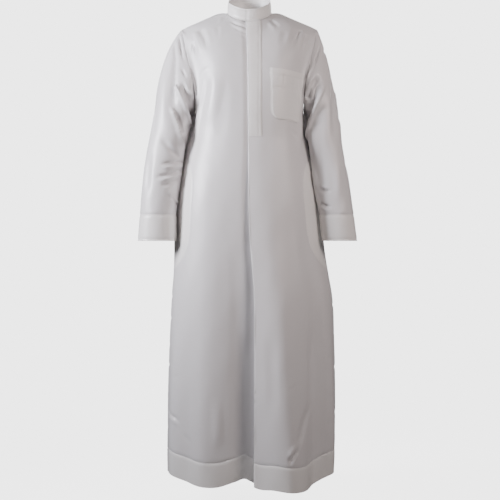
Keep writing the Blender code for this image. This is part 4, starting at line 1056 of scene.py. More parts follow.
def dressed_sleeve(side, turn, share):
    """Points on a sleeve with all its creases, at x > 0, and the way out there."""
    turn, share = spread(turn, share)
    surface = sleeve_surface(side)
    points = surface(turn, share)
    out = way_out(surface, turn, share, (0.5, 0.004), 0.0, 2.0)
    to_top = share * CAP_LENGTH
    to_cuff = (2.0 - share) * (SLEEVE_START - CUFF_TOP)
    lift = crease_height(points, out, place_sleeve_creases(side)) * ease(to_top / 0.008)
    lift *= ease(to_cuff / 0.006)
    lift += cloth_waves(points) * ease(to_top / 0.03)
    lift += seam_dip(to_top) + seam_dip(to_cuff)
    lift += puckers(np.radians(turn) * CUFF_RADIUS, to_cuff, 0.013, 0.00042) * ease(to_cuff / 0.003)
    return points + out * lift[..., None], out


def cloth_way(points):
    """How far each point of a grid lies across and along the cloth, in metres."""
    across = np.linalg.norm(np.diff(points, axis=0), axis=-1)
    along = np.linalg.norm(np.diff(points, axis=1), axis=-1)
    u = np.concatenate([np.zeros((1, points.shape[1])), np.cumsum(across, axis=0)])
    v = np.concatenate([np.zeros((points.shape[0], 1)), np.cumsum(along, axis=1)], axis=1)
    return np.stack([u, v, 0.0 * u], axis=-1)


def shell(name, outer, thickness, closed=False, mirrored=False, doubled=0.0):
    """A thin closed wall of cloth inside a grid of points, with a rim round its edges."""
    normals = grid_normals(outer, closed)
    if mirrored:
        normals = -normals
    inner = outer - normals * thickness
    columns, rows = outer.shape[:2]
    behind = columns * rows
    count = columns if closed else columns - 1
    here = np.arange(count)[:, None] * rows
    after = (np.arange(count) + 1)[:, None] % columns * rows
    step = np.arange(rows - 1)[None]
    a, b = here + step, after + step
    front = np.stack([a, b, b + 1, a + 1], axis=-1).reshape(-1, 4)
    back = front[:, ::-1] + behind
    low = np.stack([here, here + behind, after + behind, after], axis=-1).reshape(-1, 4)
    top = (low + rows - 1)[:, ::-1]
    faces = [front, back, low, top]
    if not closed:
        first = np.arange(rows - 1)
        last = first + (columns - 1) * rows
        faces.append(np.stack([first, first + 1, first + 1 + behind, first + behind], axis=-1))
        faces.append(np.stack([last, last + behind, last + 1 + behind, last + 1], axis=-1))
    faces = np.concatenate(faces)
    if mirrored:
        faces = faces[:, ::-1]
    points = np.concatenate([outer.reshape(-1, 3), inner.reshape(-1, 3)])
    mesh = bpy.data.meshes.new(name)
    mesh.from_pydata(points.tolist(), [], faces.tolist())
    mesh.update()
    way = cloth_way(outer).reshape(-1, 3)
    spot = mesh.attributes.new("cloth_way", "FLOAT_VECTOR", "POINT")
    spot.data.foreach_set("vector", np.concatenate([way, way]).astype(np.float32).ravel())
    layers = np.broadcast_to(doubled, (columns, rows)).reshape(-1)
    backed = mesh.attributes.new("doubled_cloth", "FLOAT", "POINT")
    backed.data.foreach_set("value", np.concatenate([layers, layers]).astype(np.float32))
    mesh.shade_smooth()
    mesh.set_sharp_from_angle(angle=np.radians(50.0))
    piece = bpy.data.objects.new(name, mesh)
    bpy.context.scene.collection.objects.link(piece)
    return piece


def finish_piece(piece, node, material):
    """Gives a cloth piece its finish and its place in the frame."""
    piece.data.materials.append(material)
    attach(piece, "root")
    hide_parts(node)
    Robe.pieces[node] = piece
    return piece


def panel_levels():
    """The levels of a panel's rows, closer together where the hem's stitches run and at the top."""
    near_line = HEM_LEVEL + np.array([-4.0, -2.4, -1.2, 0.0, 1.2, 2.4, 4.0]) * MM / SKIRT_LENGTH
    hem = np.linspace(0.0, near_line[0], 12)[:-1]
    skirt = np.linspace(near_line[-1], 1.0, SKIRT_ROWS)[1:]
    upper = 2.0 - np.linspace(1.0, 0.0, UPPER_ROWS + 1)[1:] ** 1.3
    return np.r_[hem, near_line, skirt, upper]


def half_angles():
    """The columns of half a panel, from the corner at the neck to the side seam."""
    arm = arm_offs()
    return np.r_[np.linspace(NECK_CORNER, TIP_CORNER, SHOULDER_COLUMNS + 1)[:-1], arm]


def build_front_left(sizes):
    """The wearer's left front: the end of the fold under the pleat first, and the side seam last."""
    levels = panel_levels()
    edge, end = pleat_angle("edge", levels), pleat_angle("end", levels)
    depth = under_depth(levels) - LAYER_GAP
    columns = []
    for share in np.linspace(1.0, 0.0, 9)[:-1]:
        angle = edge + share * (end - edge)
        sunk = 2 * PLEAT_RADIUS + share * (depth - 2 * PLEAT_RADIUS)
        columns.append(body(angle, levels) - body_normal(angle, levels) * sunk[:, None])
    out = body_normal(edge, levels)
    across = unit(body(edge + 0.5, levels) - body(edge, levels))
    for turn in np.linspace(np.pi, 0.0, 9)[:-1]:
        back = PLEAT_RADIUS * (1.0 - np.cos(turn))
        columns.append(body(edge, levels) - across * PLEAT_RADIUS * np.sin(turn) - out * back[None])
    first = np.linspace(0.0, 1.0, NECK_COLUMNS + 1)[:-1, None]
    angles = np.concatenate([edge + first * (NECK_CORNER - edge), half_angles()[:, None] + 0.0 * levels])
    panel, _ = dressed_body(angles, levels[None])
    outer = np.concatenate([np.stack(columns), panel])
    doubled = doubled_cloth(angles, levels[None])
    doubled = np.concatenate([np.repeat(doubled[:1], len(columns), axis=0), doubled])
    return shell("cloth_front_left", outer, sizes.cloth_thickness, doubled=doubled)


def build_front_right(sizes):
    """The wearer's right front: the side seam first, and the end under the pleat last."""
    levels = panel_levels()
    share = np.linspace(0.0, 1.0, NECK_COLUMNS + 8)[:, None]
    middle = -NECK_CORNER + share * (pleat_angle("end", levels) + NECK_CORNER)
    angles = np.concatenate([-half_angles()[:0:-1, None] + 0.0 * levels, middle])
    outer, _ = dressed_body(angles, levels[None], is_under=True)
    doubled = doubled_cloth(angles, levels[None])
    return shell("cloth_front_right", outer, sizes.cloth_thickness, doubled=doubled)


def build_back(sizes):
    half = np.r_[np.linspace(0.0, NECK_CORNER, NECK_COLUMNS + 1)[:-1], half_angles()]
    angles = np.r_[180.0 - half[:0:-1], 180.0 + half]
    levels = panel_levels()[None]
    outer, _ = dressed_body(angles[:, None], levels)
    doubled = doubled_cloth(angles[:, None], levels)
    return shell("cloth_back", outer, sizes.cloth_thickness, doubled=doubled)


def build_sleeve(side, sizes):
    turns = arm_turns()[:, None]
    top = np.linspace(0.0, 1.0, CAP_ROWS + 1) ** 1.2
    low = 2.0 - np.linspace(1.0, 0.0, SLEEVE_ROWS + 1)[1:] ** 1.1
    outer, _ = dressed_sleeve(side, turns, np.r_[top, low][None])
    return arm_shell("cloth_sleeve_" + side, side, outer, sizes.cloth_thickness)


def build_cuff(side, sizes):
    """A cuff, slightly proud of the sleeve."""
    shares = np.r_[0.0, 0.01, 0.025, np.linspace(0.05, 0.93, 22), 0.96, 0.985, 1.0]
    heights = CUFF_TOP + (CUFF_BOTTOM - CUFF_TOP) * shares
    turns = arm_turns()[:, None]
    points = sleeve_ring(sleeve_table(side), turns, heights[None])
    out = grid_normals(points, closed=True)
    from_top, from_low = CUFF_TOP - heights, heights - CUFF_BOTTOM
    lift = CUFF_RISE * ease(from_top / 0.002)
    lift += seam_dip(from_top - BAND_TOP_STITCH) + seam_dip(from_low - BAND_LOW_STITCH)
    lift = lift[None] + puckers(np.radians(turns) * CUFF_RADIUS, from_top[None], 0.009, 0.00016)
    lift += cloth_waves(points)
    return arm_shell("cloth_cuff_" + side, side, points + out * lift[..., None], sizes.band_thickness)


def arm_shell(name, side, outer, thickness):
    """A closed tube whose rows run down, mirrored to the wearer's right if it belongs there."""
    if side == "left":
        return shell(name, outer, thickness, closed=True)
    return shell(name, outer * np.array([-1.0, 1.0, 1.0]), thickness, closed=True, mirrored=True)


def principled(name, colour, roughness):
    material = bpy.data.materials.new(name)
    material.use_nodes = True
    surface = material.node_tree.nodes["Principled BSDF"]
    surface.inputs["Base Color"].default_value = (*colour, 1.0)
    surface.inputs["Roughness"].default_value = roughness
    return material, surface


def cloth_material(name, colour, looks):
    """Plain-woven cloth: two crossing sets of threads, faint slubs and a soft sheen."""
    material, surface = principled(name, colour, looks.roughness)
    nodes, links = material.node_tree.nodes, material.node_tree.links
    surface.inputs["Sheen Weight"].default_value = looks.sheen
    surface.inputs["Sheen Roughness"].default_value = 0.4
    surface.inputs["Specular IOR Level"].default_value = 0.60
    way = nodes.new("ShaderNodeAttribute")
    way.attribute_name = "cloth_way"

    def threads(direction):
        wave = nodes.new("ShaderNodeTexWave")
        wave.wave_type = "BANDS"
        wave.bands_direction = direction
        wave.inputs["Scale"].default_value = 0.314 / looks.thread_pitch
        wave.inputs["Distortion"].default_value = 0.6
        wave.inputs["Detail"].default_value = 0.0
        links.new(way.outputs["Vector"], wave.inputs["Vector"])
        return wave

    def slubs(scale, detail):
        place = nodes.new("ShaderNodeMapping")
        place.inputs["Scale"].default_value = scale
        noise = nodes.new("ShaderNodeTexNoise")
        noise.inputs["Scale"].default_value = 1.0
        noise.inputs["Detail"].default_value = detail
        links.new(way.outputs["Vector"], place.inputs["Vector"])
        links.new(place.outputs["Vector"], noise.inputs["Vector"])
        return noise

    def raised(height, strength, distance, under=None):
        bump = nodes.new("ShaderNodeBump")
        bump.inputs["Strength"].default_value = strength
        bump.inputs["Distance"].default_value = distance
        links.new(height, bump.inputs["Height"])
        if under:
            links.new(under, bump.inputs["Normal"])
        return bump.outputs["Normal"]

    weave = nodes.new("ShaderNodeMath")
    weave.operation = "MULTIPLY"
    links.new(threads("X").outputs["Fac"], weave.inputs[0])
    links.new(threads("Y").outputs["Fac"], weave.inputs[1])
    slub, rumple = slubs((22.0, 420.0, 1.0), 2.0), slubs((38.0, 24.0, 1.0), 3.0)
    woven = raised(weave.outputs["Value"], 0.25, 0.00008)
    slubbed = raised(slub.outputs["Fac"], 0.35, 0.00025, woven)
    rumpled = raised(rumple.outputs["Fac"], 0.30, 0.0010, slubbed)
    links.new(rumpled, surface.inputs["Normal"])

    shade = nodes.new("ShaderNodeMix")
    shade.data_type = "RGBA"
    shade.inputs["A"].default_value = (*[value * 0.965 for value in colour], 1.0)
    shade.inputs["B"].default_value = (*[min(1.0, value * 1.02) for value in colour], 1.0)
    links.new(slub.outputs["Fac"], shade.inputs["Factor"])
    backed = nodes.new("ShaderNodeAttribute")
    backed.attribute_name = "doubled_cloth"
    layered = nodes.new("ShaderNodeMix")
    layered.data_type = "RGBA"
    layered.inputs["B"].default_value = (*looks.band_colour, 1.0)
    links.new(backed.outputs["Fac"], layered.inputs["Factor"])
    links.new(shade.outputs["Result"], layered.inputs["A"])
    links.new(layered.outputs["Result"], surface.inputs["Base Color"])
    return material


class RobeSizes(PropertyGroup):
    cloth_thickness: FloatProperty(
        name="Cloth", description="Thickness of the panels and sleeves", default=0.0007, unit="LENGTH"
    )
    band_thickness: FloatProperty(
        name="Band", description="Thickness of the cuffs", default=0.0016, unit="LENGTH"
    )
    layer_thickness: FloatProperty(
        name="Layer",
        description="Thickness of the placket and the chest pocket",
        default=0.0008,
        unit="LENGTH",
    )
    stitch_length: FloatProperty(
        name="Stitch", description="Length of one stitch", default=0.0024, unit="LENGTH"
    )
    stitch_pitch: FloatProperty(
        name="Stitch pitch", description="Distance from one stitch to the next", default=0.0034, unit="LENGTH"
    )
    stitch_width: FloatProperty(
        name="Thread", description="Width of the sewing thread", default=0.00045, unit="LENGTH"
    )


class RobeLooks(PropertyGroup):
    cloth_colour: FloatVectorProperty(
        name="Cloth colour",
        description="Colour of the cloth",
        subtype="COLOR",
        size=3,
        default=(0.72, 0.703, 0.706),
    )
    band_colour: FloatVectorProperty(
        name="Band colour",
        description="Colour of the collar, cuffs, placket and pocket, whose cloth is doubled",
        subtype="COLOR",
        size=3,
        default=(0.85, 0.832, 0.812),
    )
    thread_colour: FloatVectorProperty(
        name="Thread colour",
        description="Colour of the stitches",
        subtype="COLOR",
        size=3,
        default=(0.76, 0.76, 0.76),
    )
    floor_colour: FloatVectorProperty(
        name="Floor colour",
        description="Colour of the floor",
        subtype="COLOR",
        size=3,
        default=(0.60, 0.60, 0.60),
    )
    roughness: FloatProperty(
        name="Roughness",
        description="Roughness of the cloth",
        default=0.40,
        min=0.0,
        max=1.0,
        subtype="FACTOR",
    )
    sheen: FloatProperty(
        name="Sheen", description="Sheen of the cloth", default=0.25, min=0.0, max=1.0, subtype="FACTOR"
    )
    thread_pitch: FloatProperty(
        name="Weave", description="Distance between two threads of the weave", default=0.0005, unit="LENGTH"
    )


def collar_points():
    """The band round the neck: its over end first, and its under end, which lies inside, last."""
    edge = pleat_angle("edge", 2.0)
    per_angle = SEAM_TURN / NECK_CORNER
    turns = np.linspace(per_angle * edge, 360.0 + per_angle * pleat_angle("end", 2.0), 190)
    corner = COLLAR_HEIGHT - COLLAR_CORNER
    arc = COLLAR_CORNER * np.sin(np.radians(np.linspace(0.0, 90.0, 9)))
    rows = np.r_[np.linspace(0.0, corner, 12)[:-1], corner + arc]
    turn = np.repeat(turns[:, None], len(rows), axis=1)
    high = np.clip((rows - corner) / COLLAR_CORNER, 0.0, 1.0)
    per_metre = 1.0 / (NECK_HALF_WIDTH * np.pi / 180.0)
    start_fade = ease(1.0 - (turns - turns[0]) / 60.0)[:, None]
    sink = ease(1.0 - np.abs(turns - 360.0 - turns[0]) / 4.0)[:, None]
    turn = turn + start_fade * COLLAR_CORNER * per_metre * (1.0 - np.sqrt(1.0 - high**2))
    turn -= start_fade * 0.0016 * per_metre * np.sin(np.pi * np.clip(rows / corner, 0.0, 1.0))
    inset = COLLAR_INSET * ease(1.0 - (360.0 + per_angle * edge - turn) / COLLAR_BLEND_TURN)
    angle = np.radians(turn)
    reach = np.where(np.cos(angle) > 0, NECK_FRONT, NECK_BACK)
    out = unit(np.stack([np.sin(angle) / NECK_HALF_WIDTH, -np.cos(angle) / reach, 0.0 * angle], axis=-1))
    lean = COLLAR_LEAN * rows / COLLAR_HEIGHT
    points = neckline(turn) - out * (inset + lean + COLLAR_SINK * sink)[..., None]
    points[..., 2] += 0.0003 + rows
    return points, out, rows


def dressed_collar():
    """The band with its edge stitching and the print of the button under its end."""
    points, out, rows = collar_points()
    from_end = cloth_way(points)[..., 0]
    from_low, from_top = rows[None], COLLAR_HEIGHT - rows[None]
    lift = seam_dip(from_low - BAND_LOW_STITCH) + seam_dip(from_top - BAND_TOP_STITCH)
    lift = lift + seam_dip(from_end - BAND_TOP_STITCH)
    lift += puckers(from_end, from_low, 0.010, 0.00020) + 0.6 * cloth_waves(points)
    away = np.hypot(from_end - BUTTON_PLACE[0], rows[None] - BUTTON_PLACE[1])
    rim = np.exp(-(((away - BUTTON_RADIUS) / 0.0016) ** 2))
    lift += BUTTON_RISE * rim - 0.5 * BUTTON_RISE * hump(away / 0.004)
    lift -= 0.0007 * ease(1.0 - from_top / 0.0012) ** 2 + 0.0006 * ease(1.0 - from_end / 0.0012) ** 2
    return points + out * lift[..., None], out


def build_collar():
    outer, _ = dressed_collar()
    return shell("cloth_collar", outer, COLLAR_CLOTH)


def placket_places():
    levels = np.r_[np.linspace(PLACKET_END, 1.90, 96), np.linspace(1.90, 1.996, 20)[1:]][None]
    inner, outer = (read_off(PLACKET, "level", name, levels) for name in ("inner", "outer"))
    share = np.linspace(0.0, 1.0, 25)[:, None]
    return inner + share * (outer - inner), levels + 0.0 * share


def dressed_placket(sizes):
    """The placket on the front, with its edges pressed down and its rows of stitches."""
    angles, levels = placket_places()
    points, out = dressed_body(angles, levels)
    way = cloth_way(points)
    across, along = way[..., 0], way[..., 1]
    from_outer = across[-1:] - across
    lift = sizes.layer_thickness + LAYER_GAP * ease(np.minimum(along / 0.030, 0.2 + from_outer / 0.012))
    lift += 0.35 * seam_dip(from_outer - PLACKET_STITCH) + 0.3 * seam_dip(across - PLACKET_EDGE_STITCH)
    lift += puckers(along, from_outer - PLACKET_STITCH, 0.006, 0.00018)
    lift += 0.0005 * np.sin(np.pi * np.clip(across / across[-1:], 0.0, 1.0)) * ease(along / 0.03)
    lift -= 0.0004 * ease(1.0 - np.minimum(from_outer, across) / 0.0010) ** 2
    return points + out * lift[..., None], out


def build_placket(sizes):
    outer, _ = dressed_placket(sizes)
    return shell("cloth_placket", outer, sizes.layer_thickness)


def pocket_places():
    """The angles and levels of the chest pocket's grid, from its lower edge up."""
    low, top = np.array(POCKET_LOW), np.array(POCKET_TOP)
    height = np.mean(np.linalg.norm(top - low, axis=1))
    width = 0.5 * (np.linalg.norm(top[1] - top[0]) + np.linalg.norm(low[1] - low[0]))
    arc = POCKET_RADIUS[0] * (1.0 - np.cos(np.radians(np.linspace(0.0, 90.0, 22))))
    up = np.r_[arc, np.linspace(arc[-1], height - 0.004, 62)[1:], height - 0.0025, height - 0.0012, height]
    cut = [radius - np.sqrt(radius**2 - np.clip(radius - up, 0.0, radius) ** 2) for radius in POCKET_RADIUS]
    share = np.r_[0.0, 0.01, 0.025, np.linspace(0.045, 0.955, 60), 0.975, 0.99, 1.0][:, None]
    first, last = cut[0] / width, 1.0 - cut[1] / width
    place = (first + share * (last - first))[..., None]
    rise = (up / height)[None, :, None]
    low_line, top_line = low[0] + place * (low[1] - low[0]), top[0] + place * (top[1] - top[0])
    outline = low_line + rise * (top_line - low_line)
    angles, levels = body_places("front", outline[..., 0], outline[..., 1])
    return angles, levels


def dressed_pocket(sizes):
    """The pocket laid on the front, which stands off slightly along its open top."""
    angles, levels = pocket_places()
    points, out = dressed_body(angles, levels)
    way = cloth_way(points)
    across, up = way[..., 0], way[..., 1]
    from_side = np.minimum(across, across[-1:] - across)
    from_edge = np.minimum(from_side, up)
    from_top = up[:, -1:] - up
    lift = 2 * LAYER_GAP + sizes.layer_thickness + 0.0 * across
    lift += 0.0018 * np.sin(np.pi * across / across[-1:]) * ease(1.0 - from_top / 0.075)
    lift += seam_dip(from_edge - POCKET_STITCH) + puckers(across + up, from_edge, 0.008, 0.00022)
    lift += 0.6 * seam_dip(from_top - POCKET_HEM)
    lift += crease_height(points, out, place_body_creases(POCKET_CREASES))
    lift -= 0.0005 * ease(1.0 - from_edge / 0.0012) ** 2
    return points + out * lift[..., None], out


def build_chest_pocket(sizes):
    outer, _ = dressed_pocket(sizes)
    return shell("cloth_chest_pocket", outer, sizes.layer_thickness)


def bag_outline(side, levels, off=0.0):
    """The angle at which the bag behind a side seam ends, at each level."""
    off_middle = BAG_END * (2 * levels - BAG_LOW - BAG_TOP) / (BAG_TOP - BAG_LOW)
    start = 90.0 - (90.0 - BAG_ANGLE) * np.sqrt(1.0 - off_middle**4) + off
    return start if side == "left" else -start


def build_side_pocket(side, sizes):
    """A flat bag of two layers behind a front, from the side seam forwards."""
    levels = np.linspace(BAG_LOW, BAG_TOP, 74)[None]
    start = bag_outline("left", levels)
    share = np.linspace(0.0, 1.0, 40)[:, None]
    angles = start + share * (89.6 - start)
    if side == "right":
        angles = -angles[::-1]
    points, out = dressed_body(angles, levels + 0.0 * share, is_under=side == "right")
    outer = points - out * (sizes.cloth_thickness + 2 * LAYER_GAP)
    return shell("cloth_side_pocket_" + side, outer, 0.0016)


class Thread:
    """The stitches of one piece, gathered before they become one mesh."""

    def __init__(self, sizes):
        self.length = sizes.stitch_length
        self.pitch = sizes.stitch_pitch
        self.width = sizes.stitch_width
        self.points = []

    def sew(self, line, out):
        """A row of stitches along a line of points."""
        gone = np.r_[0.0, np.cumsum(np.linalg.norm(np.diff(line, axis=0), axis=1))]
        middles = np.arange(0.5 * self.pitch, gone[-1] - 0.5 * self.length, self.pitch)
        if not len(middles):
            return

        def at(places, values):
            return np.stack([np.interp(places, gone, values[:, axis]) for axis in range(3)], axis=-1)

        up = unit(at(middles, out))
        run = unit(at(middles + 0.5 * self.length, line) - at(middles - 0.5 * self.length, line))
        across = unit(np.cross(run, up))
        centre = at(middles, line)
        for place, width, height in STITCH_RINGS:
            middle = centre + run * place * self.length
            half = 0.5 * self.width * width
            self.points.append(
                np.stack(
                    [
                        middle - across * half - up * STITCH_SINK,
                        middle + up * height * STITCH_RISE,
                        middle + across * half - up * STITCH_SINK,
                    ],
                    axis=1,
                )
            )

    def tie_off(self, name, piece, material):
        """Makes the gathered stitches one mesh, which goes with its piece."""
        count = len(STITCH_RINGS)
        starts = range(0, len(self.points), count)
        points = np.concatenate([np.concatenate(self.points[at : at + count], axis=1) for at in starts])
        pattern = []
        for ring in range(count - 1):
            a, b = 3 * ring, 3 * ring + 3
            pattern += [(a, a + 1, b + 1, b), (a + 1, a + 2, b + 2, b + 1), (a + 2, a, b, b + 2)]
        faces = (np.arange(len(points))[:, None, None] * 3 * count + np.array(pattern)[None]).reshape(-1, 4)
        mesh = bpy.data.meshes.new(name)
        mesh.from_pydata(points.reshape(-1, 3).tolist(), [], faces.tolist())
        mesh.update()
        mesh.shade_smooth()
        stitches = bpy.data.objects.new(name, mesh)
        bpy.context.scene.collection.objects.link(stitches)
        stitches.data.materials.append(material)
        stitches.parent = piece
        return stitches


def sew_panel(node, sizes, material):
    """The hem, the shoulder seam, the armholes and the outlines of the side pockets."""
    thread = Thread(sizes)
    is_under = node == "front_right"
    first, last = {
        "front_left": (pleat_angle("edge", HEM_LEVEL) + 0.3, 89.4),
        "front_right": (-89.4, pleat_angle("edge", HEM_LEVEL) - 1.0),
        "back": (90.6, 269.4),
    }[node]
    angles = np.linspace(first, last, 500)
    thread.sew(*dressed_body(angles, HEM_LEVEL, is_under))
    if node != "back":
        sign = 1.0 if node == "front_left" else -1.0
        turn = np.linspace(np.pi - 0.24, 0.24, 420)
        levels = 0.5 * (BAG_LOW + BAG_TOP) + 0.5 * (BAG_TOP - BAG_LOW) * np.cos(turn)
        thread.sew(*dressed_body(bag_outline(node[6:], levels, -0.6), levels, is_under))
        off = np.linspace(NECK_CORNER, TIP_CORNER, 120)
        thread.sew(*dressed_body(sign * off, 2.0 - SHOULDER_STITCH / to_edge(sign * off), is_under))
        arm = np.linspace(TIP_CORNER + 0.3, 88.0, 240)
        thread.sew(*dressed_body(sign * arm, 2.0 - ARMHOLE_STITCH / to_edge(sign * arm), is_under))
    else:
        for sign in (-1.0, 1.0):
            arm = 180.0 + sign * np.linspace(TIP_CORNER + 0.3, 88.0, 240)
            thread.sew(*dressed_body(arm, 2.0 - ARMHOLE_STITCH / to_edge(arm)))
    if node == "front_right":
        angle, level = body_places("front", np.linspace(-0.053, -0.017, 30), np.full(30, -0.393))
        thread.sew(*dressed_body(angle, level, True))
    thread.tie_off("stitches_" + node, Robe.pieces[node], material)


def sew_cuff(side, sizes, material):
    """The two rows of stitches round a cuff."""
    turns = np.linspace(0.0, 360.0, 300)
    thread = Thread(sizes)
    for height in (CUFF_TOP - BAND_TOP_STITCH, CUFF_BOTTOM + BAND_LOW_STITCH):
        ring = sleeve_ring(sleeve_table(side), turns, height + 0.0 * turns)
        out = ring - ring.mean(axis=0)
        out[:, 2] = 0.0
        if side == "right":
            ring, out = ring * np.array([-1.0, 1.0, 1.0]), out * np.array([-1.0, 1.0, 1.0])
        thread.sew(ring + unit(out) * (CUFF_RISE - SEAM_DIP), unit(out))
    thread.tie_off("stitches_cuff_" + side, Robe.pieces["cuff_" + side], material)


def sew_collar(sizes, material):
    points, out = dressed_collar()
    rows = collar_points()[2]
    thread = Thread(sizes)
    for height in (BAND_LOW_STITCH, COLLAR_HEIGHT - BAND_TOP_STITCH):
        row = int(np.argmin(np.abs(rows - height)))
        thread.sew(points[3:, row], out[3:, row])
    thread.tie_off("stitches_collar", Robe.pieces["collar"], material)


def sew_grid(thread, points, out, first, last, up):
    """Rows of stitches along the sides and the lower edge of a grid, at given distances inside."""
    way = cloth_way(points)
    across = way[:, 0, 0]
    for place in (across[-1] - last, first):
        column = int(np.argmin(np.abs(across - place)))
        thread.sew(points[column], out[column])
    row = int(np.argmin(np.abs(way[0, :, 1] - up)))
    thread.sew(points[:, row], out[:, row])


def sew_placket(sizes, material):
    thread = Thread(sizes)
    points, out = dressed_placket(sizes)
    sew_grid(thread, points, out, PLACKET_EDGE_STITCH, PLACKET_STITCH, PLACKET_END_STITCH)
    thread.tie_off("stitches_placket", Robe.pieces["placket"], material)


def sew_chest_pocket(sizes, material):
    thread = Thread(sizes)
    points, out = dressed_pocket(sizes)
    sew_grid(thread, points, out, POCKET_STITCH, POCKET_STITCH, POCKET_STITCH)
    thread.tie_off("stitches_chest_pocket", Robe.pieces["chest_pocket"], material)


def cloth_of(context):
    """The cloth's materials, made once."""
    looks = context.scene.robe_looks
    if "cloth" not in Robe.materials:
        Robe.materials["cloth"] = cloth_material("woven_cotton", looks.cloth_colour, looks)
        Robe.materials["band"] = cloth_material("doubled_cotton", looks.band_colour, looks)
        Robe.materials["thread"] = principled("sewing_thread", looks.thread_colour, 0.6)[0]
        Robe.settled = settle_body()
        Robe.creases = place_body_creases(BODY_CREASES)
    return Robe.materials


class ROBE_OT_fronts(Operator):
    """Build the two front panels"""

    bl_idname = "robe.fronts"
    bl_label = "Fronts"

    def execute(self, context):
        cloth, sizes = cloth_of(context)["cloth"], context.scene.robe_sizes
        left, right = build_front_left(sizes), build_front_right(sizes)
        finish_piece(left, "front_left", cloth)
        finish_piece(right, "front_right", cloth)
        return {"FINISHED"}


class ROBE_OT_back(Operator):
    """Build the back panel"""

    bl_idname = "robe.back"
    bl_label = "Back"

    def execute(self, context):
        cloth, sizes = cloth_of(context)["cloth"], context.scene.robe_sizes
        back = build_back(sizes)
        finish_piece(back, "back", cloth)
        return {"FINISHED"}


class ROBE_OT_sleeves(Operator):
    """Build the two sleeves"""

    bl_idname = "robe.sleeves"
    bl_label = "Sleeves"

    def execute(self, context):
        cloth, sizes = cloth_of(context)["cloth"], context.scene.robe_sizes
        for side in ("left", "right"):
            sleeve, carriers = build_sleeve(side, sizes), ["front_" + side, "back"]
            finish_piece(sleeve, "sleeve_" + side, cloth)
        return {"FINISHED"}


class ROBE_OT_cuffs(Operator):
    """Build the two cuffs"""

    bl_idname = "robe.cuffs"
    bl_label = "Cuffs"

    def execute(self, context):
        cloth, sizes = cloth_of(context)["band"], context.scene.robe_sizes
        for side in ("left", "right"):
            cuff = build_cuff(side, sizes)
            finish_piece(cuff, "cuff_" + side, cloth)
        return {"FINISHED"}


class ROBE_OT_collar(Operator):
    """Build the band collar"""

    bl_idname = "robe.collar"
    bl_label = "Collar"

    def execute(self, context):
        cloth = cloth_of(context)["band"]
        finish_piece(build_collar(), "collar", cloth)
        return {"FINISHED"}


class ROBE_OT_placket(Operator):
    """Build the placket on the wearer's left front"""

    bl_idname = "robe.placket"
    bl_label = "Placket"

    def execute(self, context):
        cloth, sizes = cloth_of(context)["band"], context.scene.robe_sizes
        finish_piece(build_placket(sizes), "placket", cloth)
        return {"FINISHED"}


class ROBE_OT_pockets(Operator):
    """Build the chest pocket and the two bags behind the side seams"""

    bl_idname = "robe.pockets"
    bl_label = "Pockets"

    def execute(self, context):
        materials, sizes = cloth_of(context), context.scene.robe_sizes
        pocket = build_chest_pocket(sizes)
        finish_piece(pocket, "chest_pocket", materials["band"])
        for side in ("left", "right"):
            bag = build_side_pocket(side, sizes)
            finish_piece(
                bag, "side_pocket_" + side, materials["cloth"]
            )
        return {"FINISHED"}


class ROBE_OT_stitches(Operator):
    """Sew the rows of stitches on the pieces"""

    bl_idname = "robe.stitches"
    bl_label = "Stitches"

    def execute(self, context):
        thread, sizes = cloth_of(context)["thread"], context.scene.robe_sizes
        for node in ("front_left", "front_right", "back"):
            sew_panel(node, sizes, thread)
        for side in ("left", "right"):
            sew_cuff(side, sizes, thread)
        sew_collar(sizes, thread)
        sew_placket(sizes, thread)
        sew_chest_pocket(sizes, thread)
        return {"FINISHED"}


def area_light(lamp):
    """A soft square light that faces a point."""
    light = bpy.data.lights.new(lamp["name"], "AREA")
    light.size = lamp["size"]
    light.spread = np.radians(lamp["spread"])
    light.energy = lamp["energy"]
    light.color = lamp["colour"]
    holder = bpy.data.objects.new(lamp["name"], light)
    holder.location = lamp["place"]
    holder.rotation_euler = (Vector(lamp["aim"]) - Vector(lamp["place"])).to_track_quat("-Z", "Y").to_euler()
    bpy.context.scene.collection.objects.link(holder)


def build_floor(colour):
    """A pale round floor that fades out towards its rim."""
    mesh = bpy.data.meshes.new("floor")
    turn = np.linspace(0.0, 2 * np.pi, 97)[:-1]
    x, y = FLOOR_RADIUS * np.cos(turn), FLOOR_RADIUS * np.sin(turn)
    ring = np.stack([x, y, FLOOR_HEIGHT + 0.0 * turn], axis=-1)
    mesh.from_pydata(ring.tolist(), [], [list(range(len(ring)))])
    mesh.update()
    floor = bpy.data.objects.new("floor", mesh)
    bpy.context.scene.collection.objects.link(floor)
    floor.visible_diffuse = False
    floor.visible_glossy = False
    material, surface = principled("floor_paint", colour, 0.85)
    surface.inputs["Emission Color"].default_value = (1.0, 1.0, 1.0, 1.0)
    surface.inputs["Emission Strength"].default_value = FLOOR_GLOW
    nodes, links = material.node_tree.nodes, material.node_tree.links
    place = nodes.new("ShaderNodeTexCoord")
    away = nodes.new("ShaderNodeVectorMath")
    away.operation = "LENGTH"
    flat = nodes.new("ShaderNodeMapping")
    flat.inputs["Scale"].default_value = (1.0, 1.0, 0.0)
    fade = nodes.new("ShaderNodeMapRange")
    fade.interpolation_type = "SMOOTHSTEP"
    fade.inputs["From Min"].default_value = 0.35
    fade.inputs["From Max"].default_value = FLOOR_RADIUS
    fade.inputs["To Min"].default_value = 1.0
    fade.inputs["To Max"].default_value = 0.0
    links.new(place.outputs["Object"], flat.inputs["Vector"])
    links.new(flat.outputs["Vector"], away.inputs[0])
    links.new(away.outputs["Value"], fade.inputs["Value"])
    links.new(fade.outputs["Result"], surface.inputs["Alpha"])
    floor.data.materials.append(material)
    return floor


